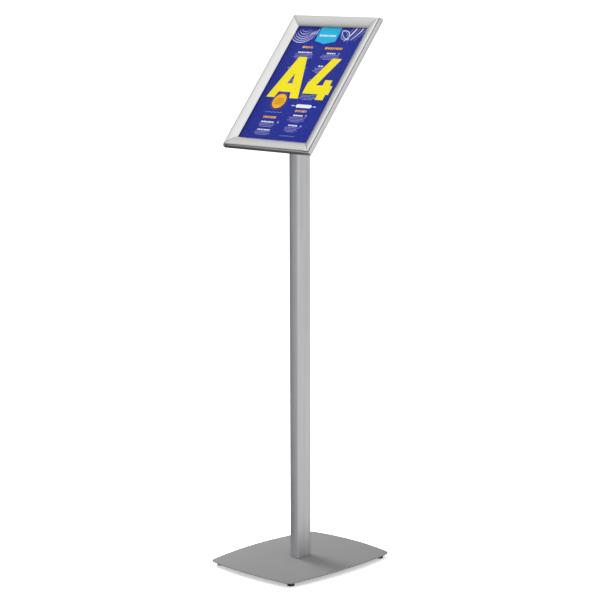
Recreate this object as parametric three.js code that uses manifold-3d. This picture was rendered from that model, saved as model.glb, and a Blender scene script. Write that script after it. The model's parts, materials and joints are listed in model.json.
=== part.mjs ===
// A floor-standing information stand: a poster snap frame, tilted towards the reader, on an
// aluminium post that is screwed to a pressed steel base plate.
//
// Frame: origin on the floor under the post's centre line, +Z up, -Y towards the reader and
// +X to the reader's right. All sizes are in millimetres.
//
// The frame lies in a "panel" group: X along the sheet's width, Y up the slope and Z out of
// the sheet, with Z = 0 on the back plane of the rails. A rail's section is drawn as (s, t):
// s inwards from the outer edge and t up from that back plane.

import * as THREE from 'three';
import { mergeVertices } from 'three/addons/utils/BufferGeometryUtils.js';
import Module from 'manifold-3d';

const wasm = await Module();
wasm.setup();

// ---------------------------------------------------------------- driving dimensions

const tiltDegrees = 50.8; // slope of the sheet above the floor
const panelCentreY = 12.1; // centre of the frame's back plane, behind the post's axis
const panelCentreZ = 980.8; // and above the floor

const sheetWidth = 210; // the poster's own size
const sheetHeight = 297;
const sheetCover = 10; // how far the closed covers overlap the poster's edge
const railWidth = 25; // width of one side of the frame, seen from the front
const railFloor = 1.2; // wall of the rails
const mitreGap = 0.3; // each mitred end stands back by this from the 45 degree line

const curlHeight = 6.8; // centre of the hinge curl, above the back plane
const curlRadius = 2.35;
const curlWall = 1.1;
const grooveClearance = 0.15; // curl to groove, in radius
const grooveWall = 1.1;
const hingeTravelDegrees = 90; // how far a cover swings open
const coverSkin = 1.15; // thickness of the covers
const curlCutback = 18; // curl and leg stop this far short of each end of a cover

const backThickness = 1.5;
const backEdgeGap = 0.7; // back panel's edge to the rib beside it
const insertThickness = 0.3;
const windowThickness = 0.5;
const seatGap = 0.3; // clearance between pieces that lie on one another

const keyThickness = 1.2;
const keyArm = 34;
const keyChannel = 6.9; // rib that the corner keys run along, in from the curl's centre
const keyGuardThickness = 0.8; // lip of that rib, over the keys
const keyGuardReach = 1.8;

const springWidth = 14;
const springThickness = 0.5;
const stopRibSetback = 0.7; // rib that the springs' feet bear on, out from the poster's edge
const legShare = 0.31; // the covers' legs come down over this share of a spring, from its foot
const legClearance = 0.9; // and stop this far above it
const springsShort = [-55, 55]; // places of the springs along the top and bottom rails
const springsLong = [-95, 0, 95]; // and along the side rails

const postWidth = 25; // post's section, X by Y
const postDepth = 42;
const postBow = 1.9; // the two narrow faces stand out by this at their middle
const postCorner = 3.2;
const postWall = 1.8;
const portBore = 2.75; // radius of the screw ports inside the post
const portWall = 1.6;
const portSlit = 2.2;
const portBite = 1; // how far the ports sink into the post's wall
const postScrewLength = 42;
const postScrewHeadRadius = 5.2;
const postScrewHeadHeight = 3.6;
const postScrewPlay = 0.25; // post screw to its port, in radius

const baseWidth = 255; // base plate, X by Y
const baseDepth = 318;
const baseBowX = 12; // how far its edges stand out at their middle
const baseBowY = 8.6;
const baseCorner = 14;
const baseThickness = 3;
const baseTopZ = 12.6; // top of the plate at the post
const baseCornerDrop = 2.2; // the plate is pressed down by up to this towards its corners
const baseRim = 0.9; // rounding of its rim
const baseCurveSteps = 10; // facets on each of its four sides and four corners

const footRadius = 7.5;
const footEase = 0.8; // chamfer at its tread and taper of its side
const footFromCentreX = 101;
const footFromCentreY = 131;

const bracketPlateWidth = 80;
const bracketPlateLength = 132;
const bracketThickness = 3;
const cheekThickness = 2.5;
const bracketCorner = 8;
const cheekDrop = 96; // cheeks reach this far down from where the axis meets the plate
const cheekSetback = 3; // cheeks stand back by this from the post's narrow faces
const cheekFrontReach = 4; // under the plate they reach past those faces by this
const cheekRearReach = 12;
const cheekFrontSlope = 26; // and run down to the post's width over these heights
const cheekRearSlope = 62;
const crossBoltRadius = 3;
const crossBoltHeights = [-78, -44]; // places of the cross bolts, from that same point
const crossBoltHeadRadius = 5.4;
const crossBoltHeadHeight = 3.3;
const crossBoltTail = 7; // shank past the far cheek
const crossNutAcross = 10;
const crossNutThickness = 5;
const panelScrewRadius = 1.9;
const panelScrewHeadRadius = 3.7;
const panelScrewTail = 5.5; // shank past the bracket's plate
const panelNutAcross = 7;
const panelNutThickness = 3.2;
const panelScrewX = 29;
const panelScrewY = 52;
const boltClearance = 0.3; // in radius, round every screw and bolt
const threadPlay = 0.2; // nuts to their screws, in radius

// ---------------------------------------------------------------- derived sizes

const tilt = THREE.MathUtils.degToRad(tiltDegrees);
const sheetInset = railWidth - sheetCover; // poster's edge, in from the outer edge
const panelWidth = sheetWidth + 2 * sheetInset;
const panelHeight = sheetHeight + 2 * sheetInset;

const backBottom = railFloor + seatGap;
const backTop = backBottom + backThickness;
const insertBottom = backTop + seatGap;
const windowBottom = insertBottom + insertThickness + seatGap;
const lipHeight = windowBottom + windowThickness + seatGap;

const grooveRadius = curlRadius + grooveClearance;
const socketRadius = grooveRadius + grooveWall;
const curlInset = socketRadius; // so that the groove's back runs straight into the outer wall
const wallInner = railFloor;

const keyBottom = railFloor + seatGap;
const keyTop = keyBottom + keyThickness;
const keyGuardBottom = keyTop + seatGap;
const keyGuardTop = keyGuardBottom + keyGuardThickness;
const keyRib = curlInset + keyChannel;
const ribWall = 0.8;
const stopRib = sheetInset - stopRibSetback;
const stopRibWall = 1;
const stopRibTop = backTop - 0.1;
const backInset = stopRib + stopRibWall + backEdgeGap;

const plateTop = railFloor; // bracket plate reaches up between the rails to the back panel
const plateBottom = plateTop - bracketThickness;
const postTopLift = plateBottom - 0.5;
const axisLift = -panelCentreY * Math.cos(tilt) - panelCentreY * Math.tan(tilt) * Math.sin(tilt);

const baseUnderZ = baseTopZ - baseThickness;
const postFootZ = baseTopZ + seatGap;
const portCentreY = postDepth / 2 - postWall - portBore - portWall + portBite;
const cheekInner = postWidth / 2 + seatGap;
const cheekOuter = cheekInner + cheekThickness;

// ---------------------------------------------------------------- finishes

const finish = (name, color, roughness, metalness) => (
    new THREE.MeshStandardMaterial({ name, color, roughness, metalness })
);
const anodised = finish('anodised', 0xd6d8da, 0.42, 0.85);
const railAluminium = finish('rail_aluminium', 0xa9abad, 0.5, 0.8);
const postAluminium = finish('post_aluminium', 0xb9bbbd, 0.45, 0.8);
const powderCoat = finish('powder_coat', 0x8f9193, 0.6, 0.2);
const rubber = finish('rubber', 0x1a1a1b, 0.85, 0);
const blackPlate = finish('black_plate', 0x2a2b2d, 0.55, 0.3);
const zincSteel = finish('zinc_steel', 0x9c9fa3, 0.35, 0.9);
const springSteel = finish('spring_steel', 0x7d8085, 0.3, 1);
const backSheet = finish('back_sheet', 0xd9dad8, 0.7, 0);
const printedSheet = finish('printed_sheet', 0x272f96, 0.5, 0);
const clearSheet = finish('clear_sheet', 0xeef2f4, 0.15, 0);
clearSheet.transparent = true;
clearSheet.opacity = 0.3;

// ---------------------------------------------------------------- solid helpers

function toSolid(geometry) {
    const bare = geometry.clone();
    bare.deleteAttribute('normal');
    bare.deleteAttribute('uv');
    const merged = mergeVertices(bare, 1e-4);
    const vertProperties = new Float32Array(merged.attributes.position.array);
    const triVerts = new Uint32Array(merged.index.array);
    return new wasm.Manifold(new wasm.Mesh({ numProp: 3, vertProperties, triVerts }));
}

function toGeometry(solid) {
    const mesh = solid.getMesh();
    const geometry = new THREE.BufferGeometry();
    geometry.setAttribute('position', new THREE.BufferAttribute(mesh.vertProperties, 3));
    geometry.setIndex(new THREE.BufferAttribute(mesh.triVerts, 1));
    geometry.computeVertexNormals();
    return geometry;
}

function cut(geometry, tools) {
    const solid = tools.reduce((body, tool) => body.subtract(toSolid(tool)), toSolid(geometry));
    return toGeometry(solid);
}

function join(geometries) {
    const solid = geometries.slice(1).reduce((body, one) => body.add(toSolid(one)), toSolid(geometries[0]));
    return toGeometry(solid);
}

function part(name, geometry, material) {
    const mesh = new THREE.Mesh(geometry, material);
    mesh.name = name;
    return mesh;
}

function extrude(shape, depth, curveSegments = 12) {
    return new THREE.ExtrudeGeometry(shape, { depth, curveSegments, bevelEnabled: false });
}

function turned(profile, segments = 24) {
    const points = profile.map(([radius, height]) => new THREE.Vector2(radius, height));
    return new THREE.LatheGeometry(points, segments).rotateX(Math.PI / 2);
}

function circle(radius, x = 0, y = 0) {
    const path = new THREE.Path();
    path.absarc(x, y, radius, 0, 2 * Math.PI, true);
    return path;
}

function outline(points) {
    return new THREE.Shape(points.map(([x, y]) => new THREE.Vector2(x, y)));
}

// A polygon with every corner eased: each corner starts and ends "ease" away from its point.
function easedPolygon(points, ease) {
    const corners = points.map(([x, y]) => new THREE.Vector2(x, y));
    const shape = new THREE.Shape();
    corners.forEach((corner, i) => {
        const before = corners[(i + corners.length - 1) % corners.length];
        const after = corners[(i + 1) % corners.length];
        const arrive = corner.clone().add(before.clone().sub(corner).setLength(ease));
        const leave = corner.clone().add(after.clone().sub(corner).setLength(ease));
        if (i === 0) shape.moveTo(arrive.x, arrive.y);
        else shape.lineTo(arrive.x, arrive.y);
        shape.quadraticCurveTo(corner.x, corner.y, leave.x, leave.y);
    });
    shape.closePath();
    return shape;
}

function rectangle(width, height, ease) {
    const x = width / 2;
    const y = height / 2;
    return easedPolygon([[-x, -y], [x, -y], [x, y], [-x, y]], ease);
}

// A rectangle whose sides bow outwards and run smoothly into its corners. Each side is a
// parabola through its full half size; the corners are curves on the sides' end tangents.
function bowedRectangle(halfX, halfY, bowX, bowY, corner) {
    const endX = halfX - bowX;
    const endY = halfY - bowY;
    const runX = endX - corner;
    const runY = endY - corner;
    const leanX = 2 * bowX / runY;
    const leanY = 2 * bowY / runX;
    const pull = corner / (1 - leanX * leanY);
    const tipX = runX + pull * (1 - leanX);
    const tipY = runY + pull * (1 - leanY);
    const shape = new THREE.Shape();
    shape.moveTo(-runX, -endY);
    shape.quadraticCurveTo(0, -halfY - bowY, runX, -endY);
    shape.quadraticCurveTo(tipX, -tipY, endX, -runY);
    shape.quadraticCurveTo(halfX + bowX, 0, endX, runY);
    shape.quadraticCurveTo(tipX, tipY, runX, endY);
    shape.quadraticCurveTo(0, halfY + bowY, -runX, endY);
    shape.quadraticCurveTo(-tipX, tipY, -endX, runY);
    shape.quadraticCurveTo(-halfX - bowX, 0, -endX, -runY);
    shape.quadraticCurveTo(-tipX, -tipY, -runX, -endY);
    return shape;
}

// Turns a drawing's x, y and depth into Y, Z and X.
const sectionToRail = new THREE.Matrix4().set(
    0, 0, 1, 0,
    1, 0, 0, 0,
    0, 1, 0, 0,
    0, 0, 0, 1,
);

// ---------------------------------------------------------------- base

// How far the pressed plate lies below its middle: nothing along both centre lines, and
// growing with the square of each distance towards the four corners.
function cornerDrop(x, y) {
    return baseCornerDrop * (2 * x / baseWidth) ** 2 * (2 * y / baseDepth) ** 2;
}

// A turned disc whose circles are stretched to the plate's outline, then pressed down.
function basePlateGeometry() {
    const ring = bowedRectangle(baseWidth / 2, baseDepth / 2, baseBowX, baseBowY, baseCorner)
        .getPoints(baseCurveSteps);
    const around = ring.length - 1;
    const rimShare = 1 - 2 * baseRim / baseWidth;
    const shares = [0.25, 0.45, 0.6, 0.72, 0.82, 0.91, rimShare];
    const profile = [
        [0, baseUnderZ],
        ...shares.map((share) => [share, baseUnderZ]),
        [1, baseUnderZ + baseRim],
        [1, baseTopZ - baseRim],
        ...shares.map((share) => [share, baseTopZ]).reverse(),
        [0, baseTopZ],
    ];
    const geometry = turned(profile, around);
    const { position } = geometry.attributes;
    for (let i = 0; i <= around; i += 1) {
        profile.forEach(([share, height], j) => {
            const x = share * ring[i].x;
            const y = share * ring[i].y;
            position.setXYZ(i * profile.length + j, x, y, height - cornerDrop(x, y));
        });
    }
    const bore = portBore + boltClearance;
    const through = turned([[0, 0], [bore, 0], [bore, 2 * baseTopZ], [0, 2 * baseTopZ]]);
    const holes = [-1, 1].map((side) => through.clone().translate(0, side * portCentreY, 0));
    return cut(geometry, holes);
}

function footGeometry() {
    const reach = footRadius;
    const top = baseUnderZ - cornerDrop(footFromCentreX + reach, footFromCentreY + reach) - seatGap;
    return turned([
        [0, 0],
        [footRadius - footEase, 0],
        [footRadius, footEase],
        [footRadius - footEase, top],
        [0, top],
    ], 28);
}

// Socket screw along +Z: head below z = 0 and shank above it.
function socketScrewGeometry(shankRadius, shankLength, headRadius, headHeight) {
    const socketRadiusHere = headRadius * 0.45;
    const socketDepth = headHeight * 0.6;
    return turned([
        [0, socketDepth - headHeight],
        [socketRadiusHere, socketDepth - headHeight],
        [socketRadiusHere, -headHeight],
        [headRadius * 0.8, -headHeight],
        [headRadius, -headHeight * 0.5],
        [headRadius, 0],
        [shankRadius, 0],
        [shankRadius, shankLength - 1],
        [shankRadius - 0.7, shankLength],
        [0, shankLength],
    ], 20);
}

function nutGeometry(acrossFlats, bore, thickness) {
    const cornerRadius = acrossFlats / Math.sqrt(3);
    const hexagon = outline([0, 1, 2, 3, 4, 5].map((k) => {
        const turn = k * Math.PI / 3;
        return [cornerRadius * Math.cos(turn), cornerRadius * Math.sin(turn)];
    }));
    hexagon.holes.push(circle(bore));
    return extrude(hexagon, thickness, 8);
}

// ---------------------------------------------------------------- post and head bracket

// Height of the frame's plane, lifted by "lift" along the sheet's normal, at depth y.
function planeZ(y, lift) {
    return panelCentreZ + (lift + Math.sin(tilt) * (y - panelCentreY)) / Math.cos(tilt);
}

const axisZ = planeZ(0, 0); // where the post's axis meets the frame's back plane

function crossHole(z, radius, length) {
    return turned([[0, -length / 2], [radius, -length / 2], [radius, length / 2], [0, length / 2]])
        .rotateY(Math.PI / 2)
        .translate(0, 0, z);
}

function postGeometry() {
    const section = bowedRectangle(postWidth / 2, postDepth / 2, 0, postBow, postCorner);
    section.holes.push(bowedRectangle(
        postWidth / 2 - postWall,
        postDepth / 2 - postWall,
        0,
        postBow,
        Math.max(postCorner - postWall, 1),
    ));
    const length = planeZ(postDepth / 2, postTopLift) - postFootZ + 5;
    const tube = extrude(section, length, 8);
    const ports = [-1, 1].map((side) => (
        extrude(outlinePort(), length, 10).translate(0, side * portCentreY, 0)
    ));
    const slits = [-1, 1].map((side) => (
        new THREE.BoxGeometry(portSlit, portBore + portWall + portBite, 3 * length)
            .translate(0, side * (portCentreY - (portBore + portWall + portBite) / 2), 0)
    ));
    const bores = [-1, 1].map((side) => (
        extrude(new THREE.Shape().absarc(0, 0, portBore, 0, 2 * Math.PI, false), 3 * length, 10)
            .translate(0, side * portCentreY, -length)
    ));
    const body = cut(join([tube, ...ports]), [...slits, ...bores]).translate(0, 0, postFootZ);
    const above = new THREE.BoxGeometry(3 * postWidth, 400, 200)
        .translate(0, 0, 100 + postTopLift)
        .applyMatrix4(panelFrame);
    const holes = crossBoltHeights.map((height) => (
        crossHole(axisZ + height, crossBoltRadius + boltClearance, 2 * postWidth)
    ));
    return cut(body, [above, ...holes]);
}

function outlinePort() {
    const shape = new THREE.Shape();
    shape.absarc(0, 0, portBore + portWall, 0, 2 * Math.PI, false);
    return shape;
}

// Inclined plate behind the frame, with two cheeks that straddle the post.
function headBracketGeometry() {
    const plateShape = rectangle(bracketPlateWidth, bracketPlateLength, bracketCorner);
    const plate = extrude(plateShape, bracketThickness)
        .translate(0, axisLift, plateBottom)
        .applyMatrix4(panelFrame);
    const low = axisZ - cheekDrop;
    const halfGrip = postDepth / 2 - cheekSetback;
    const frontY = -postDepth / 2 - cheekFrontReach;
    const rearY = postDepth / 2 + cheekRearReach;
    const sink = plateBottom + bracketThickness / 2;
    const cheekShape = easedPolygon([
        [-halfGrip, low],
        [halfGrip, low],
        [halfGrip, planeZ(rearY, sink) - cheekRearSlope],
        [rearY, planeZ(rearY, sink)],
        [frontY, planeZ(frontY, sink)],
        [-halfGrip, planeZ(frontY, sink) - cheekFrontSlope],
    ], 3);
    const cheek = extrude(cheekShape, cheekThickness, 4).applyMatrix4(sectionToRail);
    const cheeks = [cheekInner, -cheekOuter].map((x) => cheek.clone().translate(x, 0, 0));
    const boltHoles = crossBoltHeights.map((height) => (
        crossHole(axisZ + height, crossBoltRadius + boltClearance, 4 * cheekOuter)
    ));
    const screwHoles = panelScrewPlaces().map(([x, y]) => panelScrewRoom(x, y));
    return cut(join([plate, ...cheeks]), [...boltHoles, ...screwHoles]);
}

// ---------------------------------------------------------------- frame

const panelFrame = new THREE.Matrix4()
    .makeRotationX(tilt)
    .setPosition(0, panelCentreY, panelCentreZ);

function panelScrewPlaces() {
    const signs = [[-1, -1], [1, -1], [1, 1], [-1, 1]];
    return signs.map(([i, j]) => [i * panelScrewX, axisLift + j * panelScrewY]);
}

// Countersunk screw, head flush with the back panel's face; "room" widens it to cut its hole.
function panelScrewGeometry(room) {
    const head = panelScrewHeadRadius + room;
    const shank = panelScrewRadius + room;
    const coneStart = backBottom - seatGap;
    const coneEnd = backTop - 0.1;
    const tail = plateBottom - panelScrewTail - room;
    const above = room > 0 ? [[head, coneEnd + 1], [0, coneEnd + 1]] : [[0, coneEnd]];
    return turned([[0, tail], [shank, tail], [shank, coneStart], [head, coneEnd], ...above], 20);
}

function panelScrewRoom(x, y) {
    return panelScrewGeometry(boltClearance).translate(x, y, 0).applyMatrix4(panelFrame);
}

function backPanelGeometry() {
    const width = panelWidth - 2 * backInset;
    const height = panelHeight - 2 * backInset;
    const board = extrude(rectangle(width, height, 3), backThickness).translate(0, 0, backBottom);
    const rooms = panelScrewPlaces().map(([x, y]) => panelScrewGeometry(boltClearance).translate(x, y, 0));
    return cut(board, rooms);
}

function sheetGeometry(bottom, thickness) {
    return extrude(rectangle(sheetWidth, sheetHeight, 1), thickness).translate(0, 0, bottom);
}

// Carries a section (s, t) along a rail of the given outer length, with both ends mitred.
function mitredRail(section, length) {
    const geometry = extrude(section, 1, 1);
    const { position } = geometry.attributes;
    for (let i = 0; i < position.count; i += 1) {
        const s = position.getX(i);
        const t = position.getY(i);
        const end = position.getZ(i) > 0.5 ? 1 : -1;
        position.setXYZ(i, end * (length / 2 - s - mitreGap), s, t);
    }
    return geometry;
}

function arcPoints(centreS, centreT, radius, fromDegrees, toDegrees, steps) {
    return Array.from({ length: steps + 1 }, (_, i) => {
        const turn = THREE.MathUtils.degToRad(fromDegrees + (toDegrees - fromDegrees) * i / steps);
        return [centreS + radius * Math.cos(turn), centreT + radius * Math.sin(turn)];
    });
}

// The web that carries the curl leaves it at this angle when the cover is closed, and the
// groove's mouth leaves room for it through the whole travel.
const webDegrees = 20;
const webHalfAngle = 9;
const curlEndDegrees = 325; // the curl runs round from the web to here
const webReach = 4.2; // from the curl's centre to where the web bends up to the skin
const mouthRoom = 13;
const mouthStart = webDegrees - mouthRoom;
const mouthEnd = webDegrees + hingeTravelDegrees + mouthRoom;

// Base rail: floor, outer wall that ends in the hinge groove, an undercut channel for the
// corner keys and a rib for the springs' feet.
function baseRailSection() {
    const floorEnd = railWidth - 0.5;
    const wallMeets = 180 + THREE.MathUtils.radToDeg(Math.acos((curlInset - wallInner) / socketRadius));
    return outline([
        [0.4, 0],
        [floorEnd, 0],
        [floorEnd, railFloor],
        [stopRib + stopRibWall, railFloor],
        [stopRib + stopRibWall, stopRibTop],
        [stopRib, stopRibTop],
        [stopRib, railFloor],
        [keyRib + ribWall, railFloor],
        [keyRib + ribWall, keyGuardTop],
        [keyRib - keyGuardReach, keyGuardTop],
        [keyRib - keyGuardReach, keyGuardBottom],
        [keyRib, keyGuardBottom],
        [keyRib, railFloor],
        [wallInner, railFloor],
        ...arcPoints(curlInset, curlHeight, socketRadius, wallMeets, 360 + mouthStart, 12),
        ...arcPoints(curlInset, curlHeight, grooveRadius, 360 + mouthStart, mouthEnd, 22),
        ...arcPoints(curlInset, curlHeight, socketRadius, mouthEnd, 180, 7),
        [0, 0.4],
    ]);
}

// Snap cover: one crowned skin from the outer edge to the rounded lip that holds the sheets
// down, with the hinge curl on its web and a leg that reaches down to the springs.
function coverSection() {
    const crown = new THREE.CubicBezierCurve(
        new THREE.Vector2(railWidth, lipHeight + 1.1),
        new THREE.Vector2(railWidth - 4, lipHeight + 6.9),
        new THREE.Vector2(curlInset + 3.7, curlHeight + 7.7),
        new THREE.Vector2(curlInset - 1.1, curlHeight + 4.95),
    );
    const under = (share) => {
        const along = crown.getTangent(share);
        const inwards = new THREE.Vector2(-along.y, along.x).multiplyScalar(coverSkin);
        return crown.getPoint(share).add(inwards);
    };
    const shareAt = (s) => {
        let [near, far] = [0, 1];
        for (let i = 0; i < 30; i += 1) {
            const middle = (near + far) / 2;
            if (under(middle).x > s) near = middle;
            else far = middle;
        }
        return near;
    };
    const run = (from, to, steps, at) => Array.from({ length: steps + 1 }, (_, i) => {
        const point = at(from + (to - from) * i / steps);
        return [point.x, point.y];
    });
    const webTurn = THREE.MathUtils.degToRad(webDegrees);
    const elbowS = curlInset + webReach * Math.cos(webTurn);
    const elbowT = curlHeight + webReach * Math.sin(webTurn);
    const nose = crown.getPoint(1).lerp(under(1), 0.5);
    const legPlace = springCurve().getPoint(legShare);
    const legS = legPlace.x;
    const legTip = legPlace.y + springThickness / 2 + legClearance;
    return outline([
        ...run(0, 1, 20, (share) => crown.getPoint(share)),
        [nose.x - 0.3, nose.y - 0.12],
        ...run(1, shareAt(elbowS + 0.1), 4, under),
        [elbowS - 0.35, elbowT + 0.25],
        ...arcPoints(curlInset, curlHeight, curlRadius, webDegrees + webHalfAngle, curlEndDegrees, 18),
        ...arcPoints(
            curlInset,
            curlHeight,
            curlRadius - curlWall,
            curlEndDegrees,
            webDegrees - webHalfAngle,
            12,
        ),
        [elbowS + 0.35, elbowT - 0.25],
        ...run(shareAt(elbowS + 1), shareAt(legS + 0.1), 4, under),
        [legS, legTip + 1.4],
        [legS - 0.6, legTip + 0.9],
        [legS - 0.4, legTip],
        [legS + 0.8, legTip],
        [legS + 1, legTip + 0.6],
        ...run(shareAt(legS + 1.3), 0, 11, under),
        [railWidth - 0.85, lipHeight + 0.15],
        [railWidth - 0.55, lipHeight],
        [railWidth - 0.2, lipHeight + 0.15],
        [railWidth, lipHeight + 0.5],
    ]);
}

// The curl, its web and the leg stop short of both mitres, so that they swing clear of the
// covers beside them.
function coverGeometry(length) {
    const height = 10;
    const deep = springCurve().getPoint(legShare).x + 2;
    const roof = curlHeight + 2.8;
    const ends = [-1, 1].map((side) => (
        new THREE.BoxGeometry(2 * curlCutback, deep, height)
            .translate(side * length / 2, deep / 2, roof - height / 2)
    ));
    return cut(mitredRail(coverSection(), length), ends);
}

// Centre line of a bowed steel strip: its foot stands against the rail's rib and its tip
// bears beside the curl's web.
function springCurve() {
    const foot = new THREE.Vector2(stopRib - 0.5, railFloor + 0.7);
    const crest = new THREE.Vector2(curlInset + 7.5, railFloor + 5.4);
    const tip = new THREE.Vector2(curlInset + 4.6, curlHeight + 0.1);
    return new THREE.QuadraticBezierCurve(foot, crest, tip);
}

function springGeometry() {
    const curve = springCurve();
    const steps = 10;
    const side = (sign) => Array.from({ length: steps + 1 }, (_, i) => {
        const share = sign > 0 ? i / steps : 1 - i / steps;
        const along = curve.getTangent(share);
        const point = curve.getPoint(share);
        const half = sign * springThickness / 2;
        return [point.x - along.y * half, point.y + along.x * half];
    });
    return extrude(outline([...side(1), ...side(-1)]), springWidth)
        .applyMatrix4(sectionToRail)
        .translate(-springWidth / 2, 0, 0);
}

// L-shaped key that locks two base rails at a mitre, with a punched hole in each arm.
function cornerKeyGeometry() {
    const near = wallInner + seatGap;
    const far = keyRib - seatGap;
    const middle = (near + far) / 2;
    const shape = easedPolygon([
        [near, near],
        [keyArm, near],
        [keyArm, far],
        [far, far],
        [far, keyArm],
        [near, keyArm],
    ], 1.2);
    shape.holes.push(circle(1.5, keyArm - 7, middle), circle(1.5, middle, keyArm - 7));
    return extrude(shape, keyThickness, 4).translate(0, 0, keyBottom);
}

// ---------------------------------------------------------------- assembly

const stand = new THREE.Group();

stand.add(part('base_plate', basePlateGeometry(), powderCoat));
const footPlaces = { front_left: [-1, -1], front_right: [1, -1], rear_right: [1, 1], rear_left: [-1, 1] };
for (const [corner, [i, j]] of Object.entries(footPlaces)) {
    const foot = part(`rubber_foot_${corner}`, footGeometry(), rubber);
    foot.position.set(i * footFromCentreX, j * footFromCentreY, 0);
    stand.add(foot);
}

stand.add(part('post_profile', postGeometry(), postAluminium));
[['front', -1], ['rear', 1]].forEach(([end, side]) => {
    const screw = part(
        `post_screw_${end}`,
        socketScrewGeometry(
            portBore - postScrewPlay,
            postScrewLength,
            postScrewHeadRadius,
            postScrewHeadHeight,
        ),
        zincSteel,
    );
    screw.position.set(0, side * portCentreY, baseUnderZ - seatGap);
    stand.add(screw);
});

stand.add(part('head_bracket', headBracketGeometry(), blackPlate));
crossBoltHeights.forEach((height, k) => {
    const level = k === 0 ? 'lower' : 'upper';
    const reach = cheekOuter + seatGap;
    const bolt = part(
        `cross_bolt_${level}`,
        socketScrewGeometry(
            crossBoltRadius,
            2 * reach + crossBoltTail,
            crossBoltHeadRadius,
            crossBoltHeadHeight,
        ),
        zincSteel,
    );
    bolt.rotation.y = -Math.PI / 2;
    bolt.position.set(reach, 0, axisZ + height);
    const nutShape = nutGeometry(crossNutAcross, crossBoltRadius + threadPlay, crossNutThickness);
    const nut = part(`cross_nut_${level}`, nutShape, zincSteel);
    nut.rotation.y = -Math.PI / 2;
    nut.position.set(-reach, 0, axisZ + height);
    stand.add(bolt, nut);
});

const panel = new THREE.Group();
panel.rotation.x = tilt;
panel.position.set(0, panelCentreY, panelCentreZ);
stand.add(panel);

panel.add(part('back_panel', backPanelGeometry(), backSheet));
panel.add(part('insert_sheet', sheetGeometry(insertBottom, insertThickness), printedSheet));
panel.add(part('window_sheet', sheetGeometry(windowBottom, windowThickness), clearSheet));

panelScrewPlaces().forEach(([x, y], k) => {
    const screw = part(`panel_screw_${k + 1}`, panelScrewGeometry(0), zincSteel);
    screw.position.set(x, y, 0);
    const nutShape = nutGeometry(panelNutAcross, panelScrewRadius + threadPlay, panelNutThickness);
    const nut = part(`panel_nut_${k + 1}`, nutShape, zincSteel);
    nut.position.set(x, y, plateBottom - seatGap - panelNutThickness);
    panel.add(screw, nut);
});

// Each side of the frame is a group with X along the rail, Y inwards and Z out of the sheet.
const sides = [
    ['bottom', panelWidth, panelHeight, 0, springsShort],
    ['right', panelHeight, panelWidth, 1, springsLong],
    ['top', panelWidth, panelHeight, 2, springsShort],
    ['left', panelHeight, panelWidth, 3, springsLong],
];
for (const [side, length, across, quarters, springPlaces] of sides) {
    const rail = new THREE.Group();
    const turn = quarters * Math.PI / 2;
    rail.rotation.z = turn;
    rail.position.set(Math.sin(turn) * across / 2, -Math.cos(turn) * across / 2, 0);
    rail.add(part(`base_rail_${side}`, mitredRail(baseRailSection(), length), railAluminium));
    rail.add(part(`snap_cover_${side}`, coverGeometry(length), anodised));
    springPlaces.forEach((place, k) => {
        const spring = part(`leaf_spring_${side}_${k + 1}`, springGeometry(), springSteel);
        spring.position.x = place;
        rail.add(spring);
    });
    panel.add(rail);
}

const keyCorners = { bottom_left: [-1, -1], bottom_right: [1, -1], top_right: [1, 1], top_left: [-1, 1] };
Object.entries(keyCorners).forEach(([corner, [i, j]], k) => {
    const key = part(`corner_key_${corner}`, cornerKeyGeometry(), zincSteel);
    key.position.set(i * panelWidth / 2, j * panelHeight / 2, 0);
    key.rotation.z = k * Math.PI / 2;
    panel.add(key);
});

export default stand;
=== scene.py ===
"""Sign stand: the looks of a tilted poster snap frame on an aluminium post and a pressed steel foot.

Every size is in metres, in the packed part's own frame: +Z up, -Y towards the reader.
The poster frame has a plane of its own: X across, "up" along the slope and "out" of the sheet.
A rail's section is drawn as (s, t): s inwards from the outer edge, t out from the back plane.
"""

import json
import math

import bmesh
import bpy
import numpy as np
from bpy.props import FloatProperty, FloatVectorProperty, IntProperty, PointerProperty
from mathutils import Matrix, Vector
from mathutils.geometry import tessellate_polygon


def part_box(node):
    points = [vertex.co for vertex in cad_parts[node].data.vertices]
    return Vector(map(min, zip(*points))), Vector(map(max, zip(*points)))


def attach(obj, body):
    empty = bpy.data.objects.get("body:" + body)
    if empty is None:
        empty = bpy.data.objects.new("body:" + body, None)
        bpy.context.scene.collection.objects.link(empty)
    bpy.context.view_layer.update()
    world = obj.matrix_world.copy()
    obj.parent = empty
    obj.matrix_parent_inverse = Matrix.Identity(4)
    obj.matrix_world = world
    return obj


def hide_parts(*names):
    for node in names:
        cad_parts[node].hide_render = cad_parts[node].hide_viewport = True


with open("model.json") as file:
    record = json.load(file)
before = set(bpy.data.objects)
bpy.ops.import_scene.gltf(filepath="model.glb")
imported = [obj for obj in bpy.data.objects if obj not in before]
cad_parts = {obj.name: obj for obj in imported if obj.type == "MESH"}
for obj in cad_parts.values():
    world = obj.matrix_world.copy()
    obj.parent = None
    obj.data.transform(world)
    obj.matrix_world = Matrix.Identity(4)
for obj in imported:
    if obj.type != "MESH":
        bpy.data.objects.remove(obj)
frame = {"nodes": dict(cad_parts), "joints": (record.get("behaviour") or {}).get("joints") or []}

bl_info = {
    "name": "Sign Stand",
    "version": (1, 0, 0),
    "blender": (4, 5, 0),
    "location": "View3D > Sidebar > Sign Stand",
    "description": "Surfaces, finishes and studio for a floor-standing poster snap frame",
    "category": "Object",
}

MM = 0.001
CREASE = math.radians(32)  # edges that turn by more than this stay sharp
STAND = "stand"
SIDES = ("bottom", "right", "top", "left")

# ------------------------------------------------------------------ places taken from the frame

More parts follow.
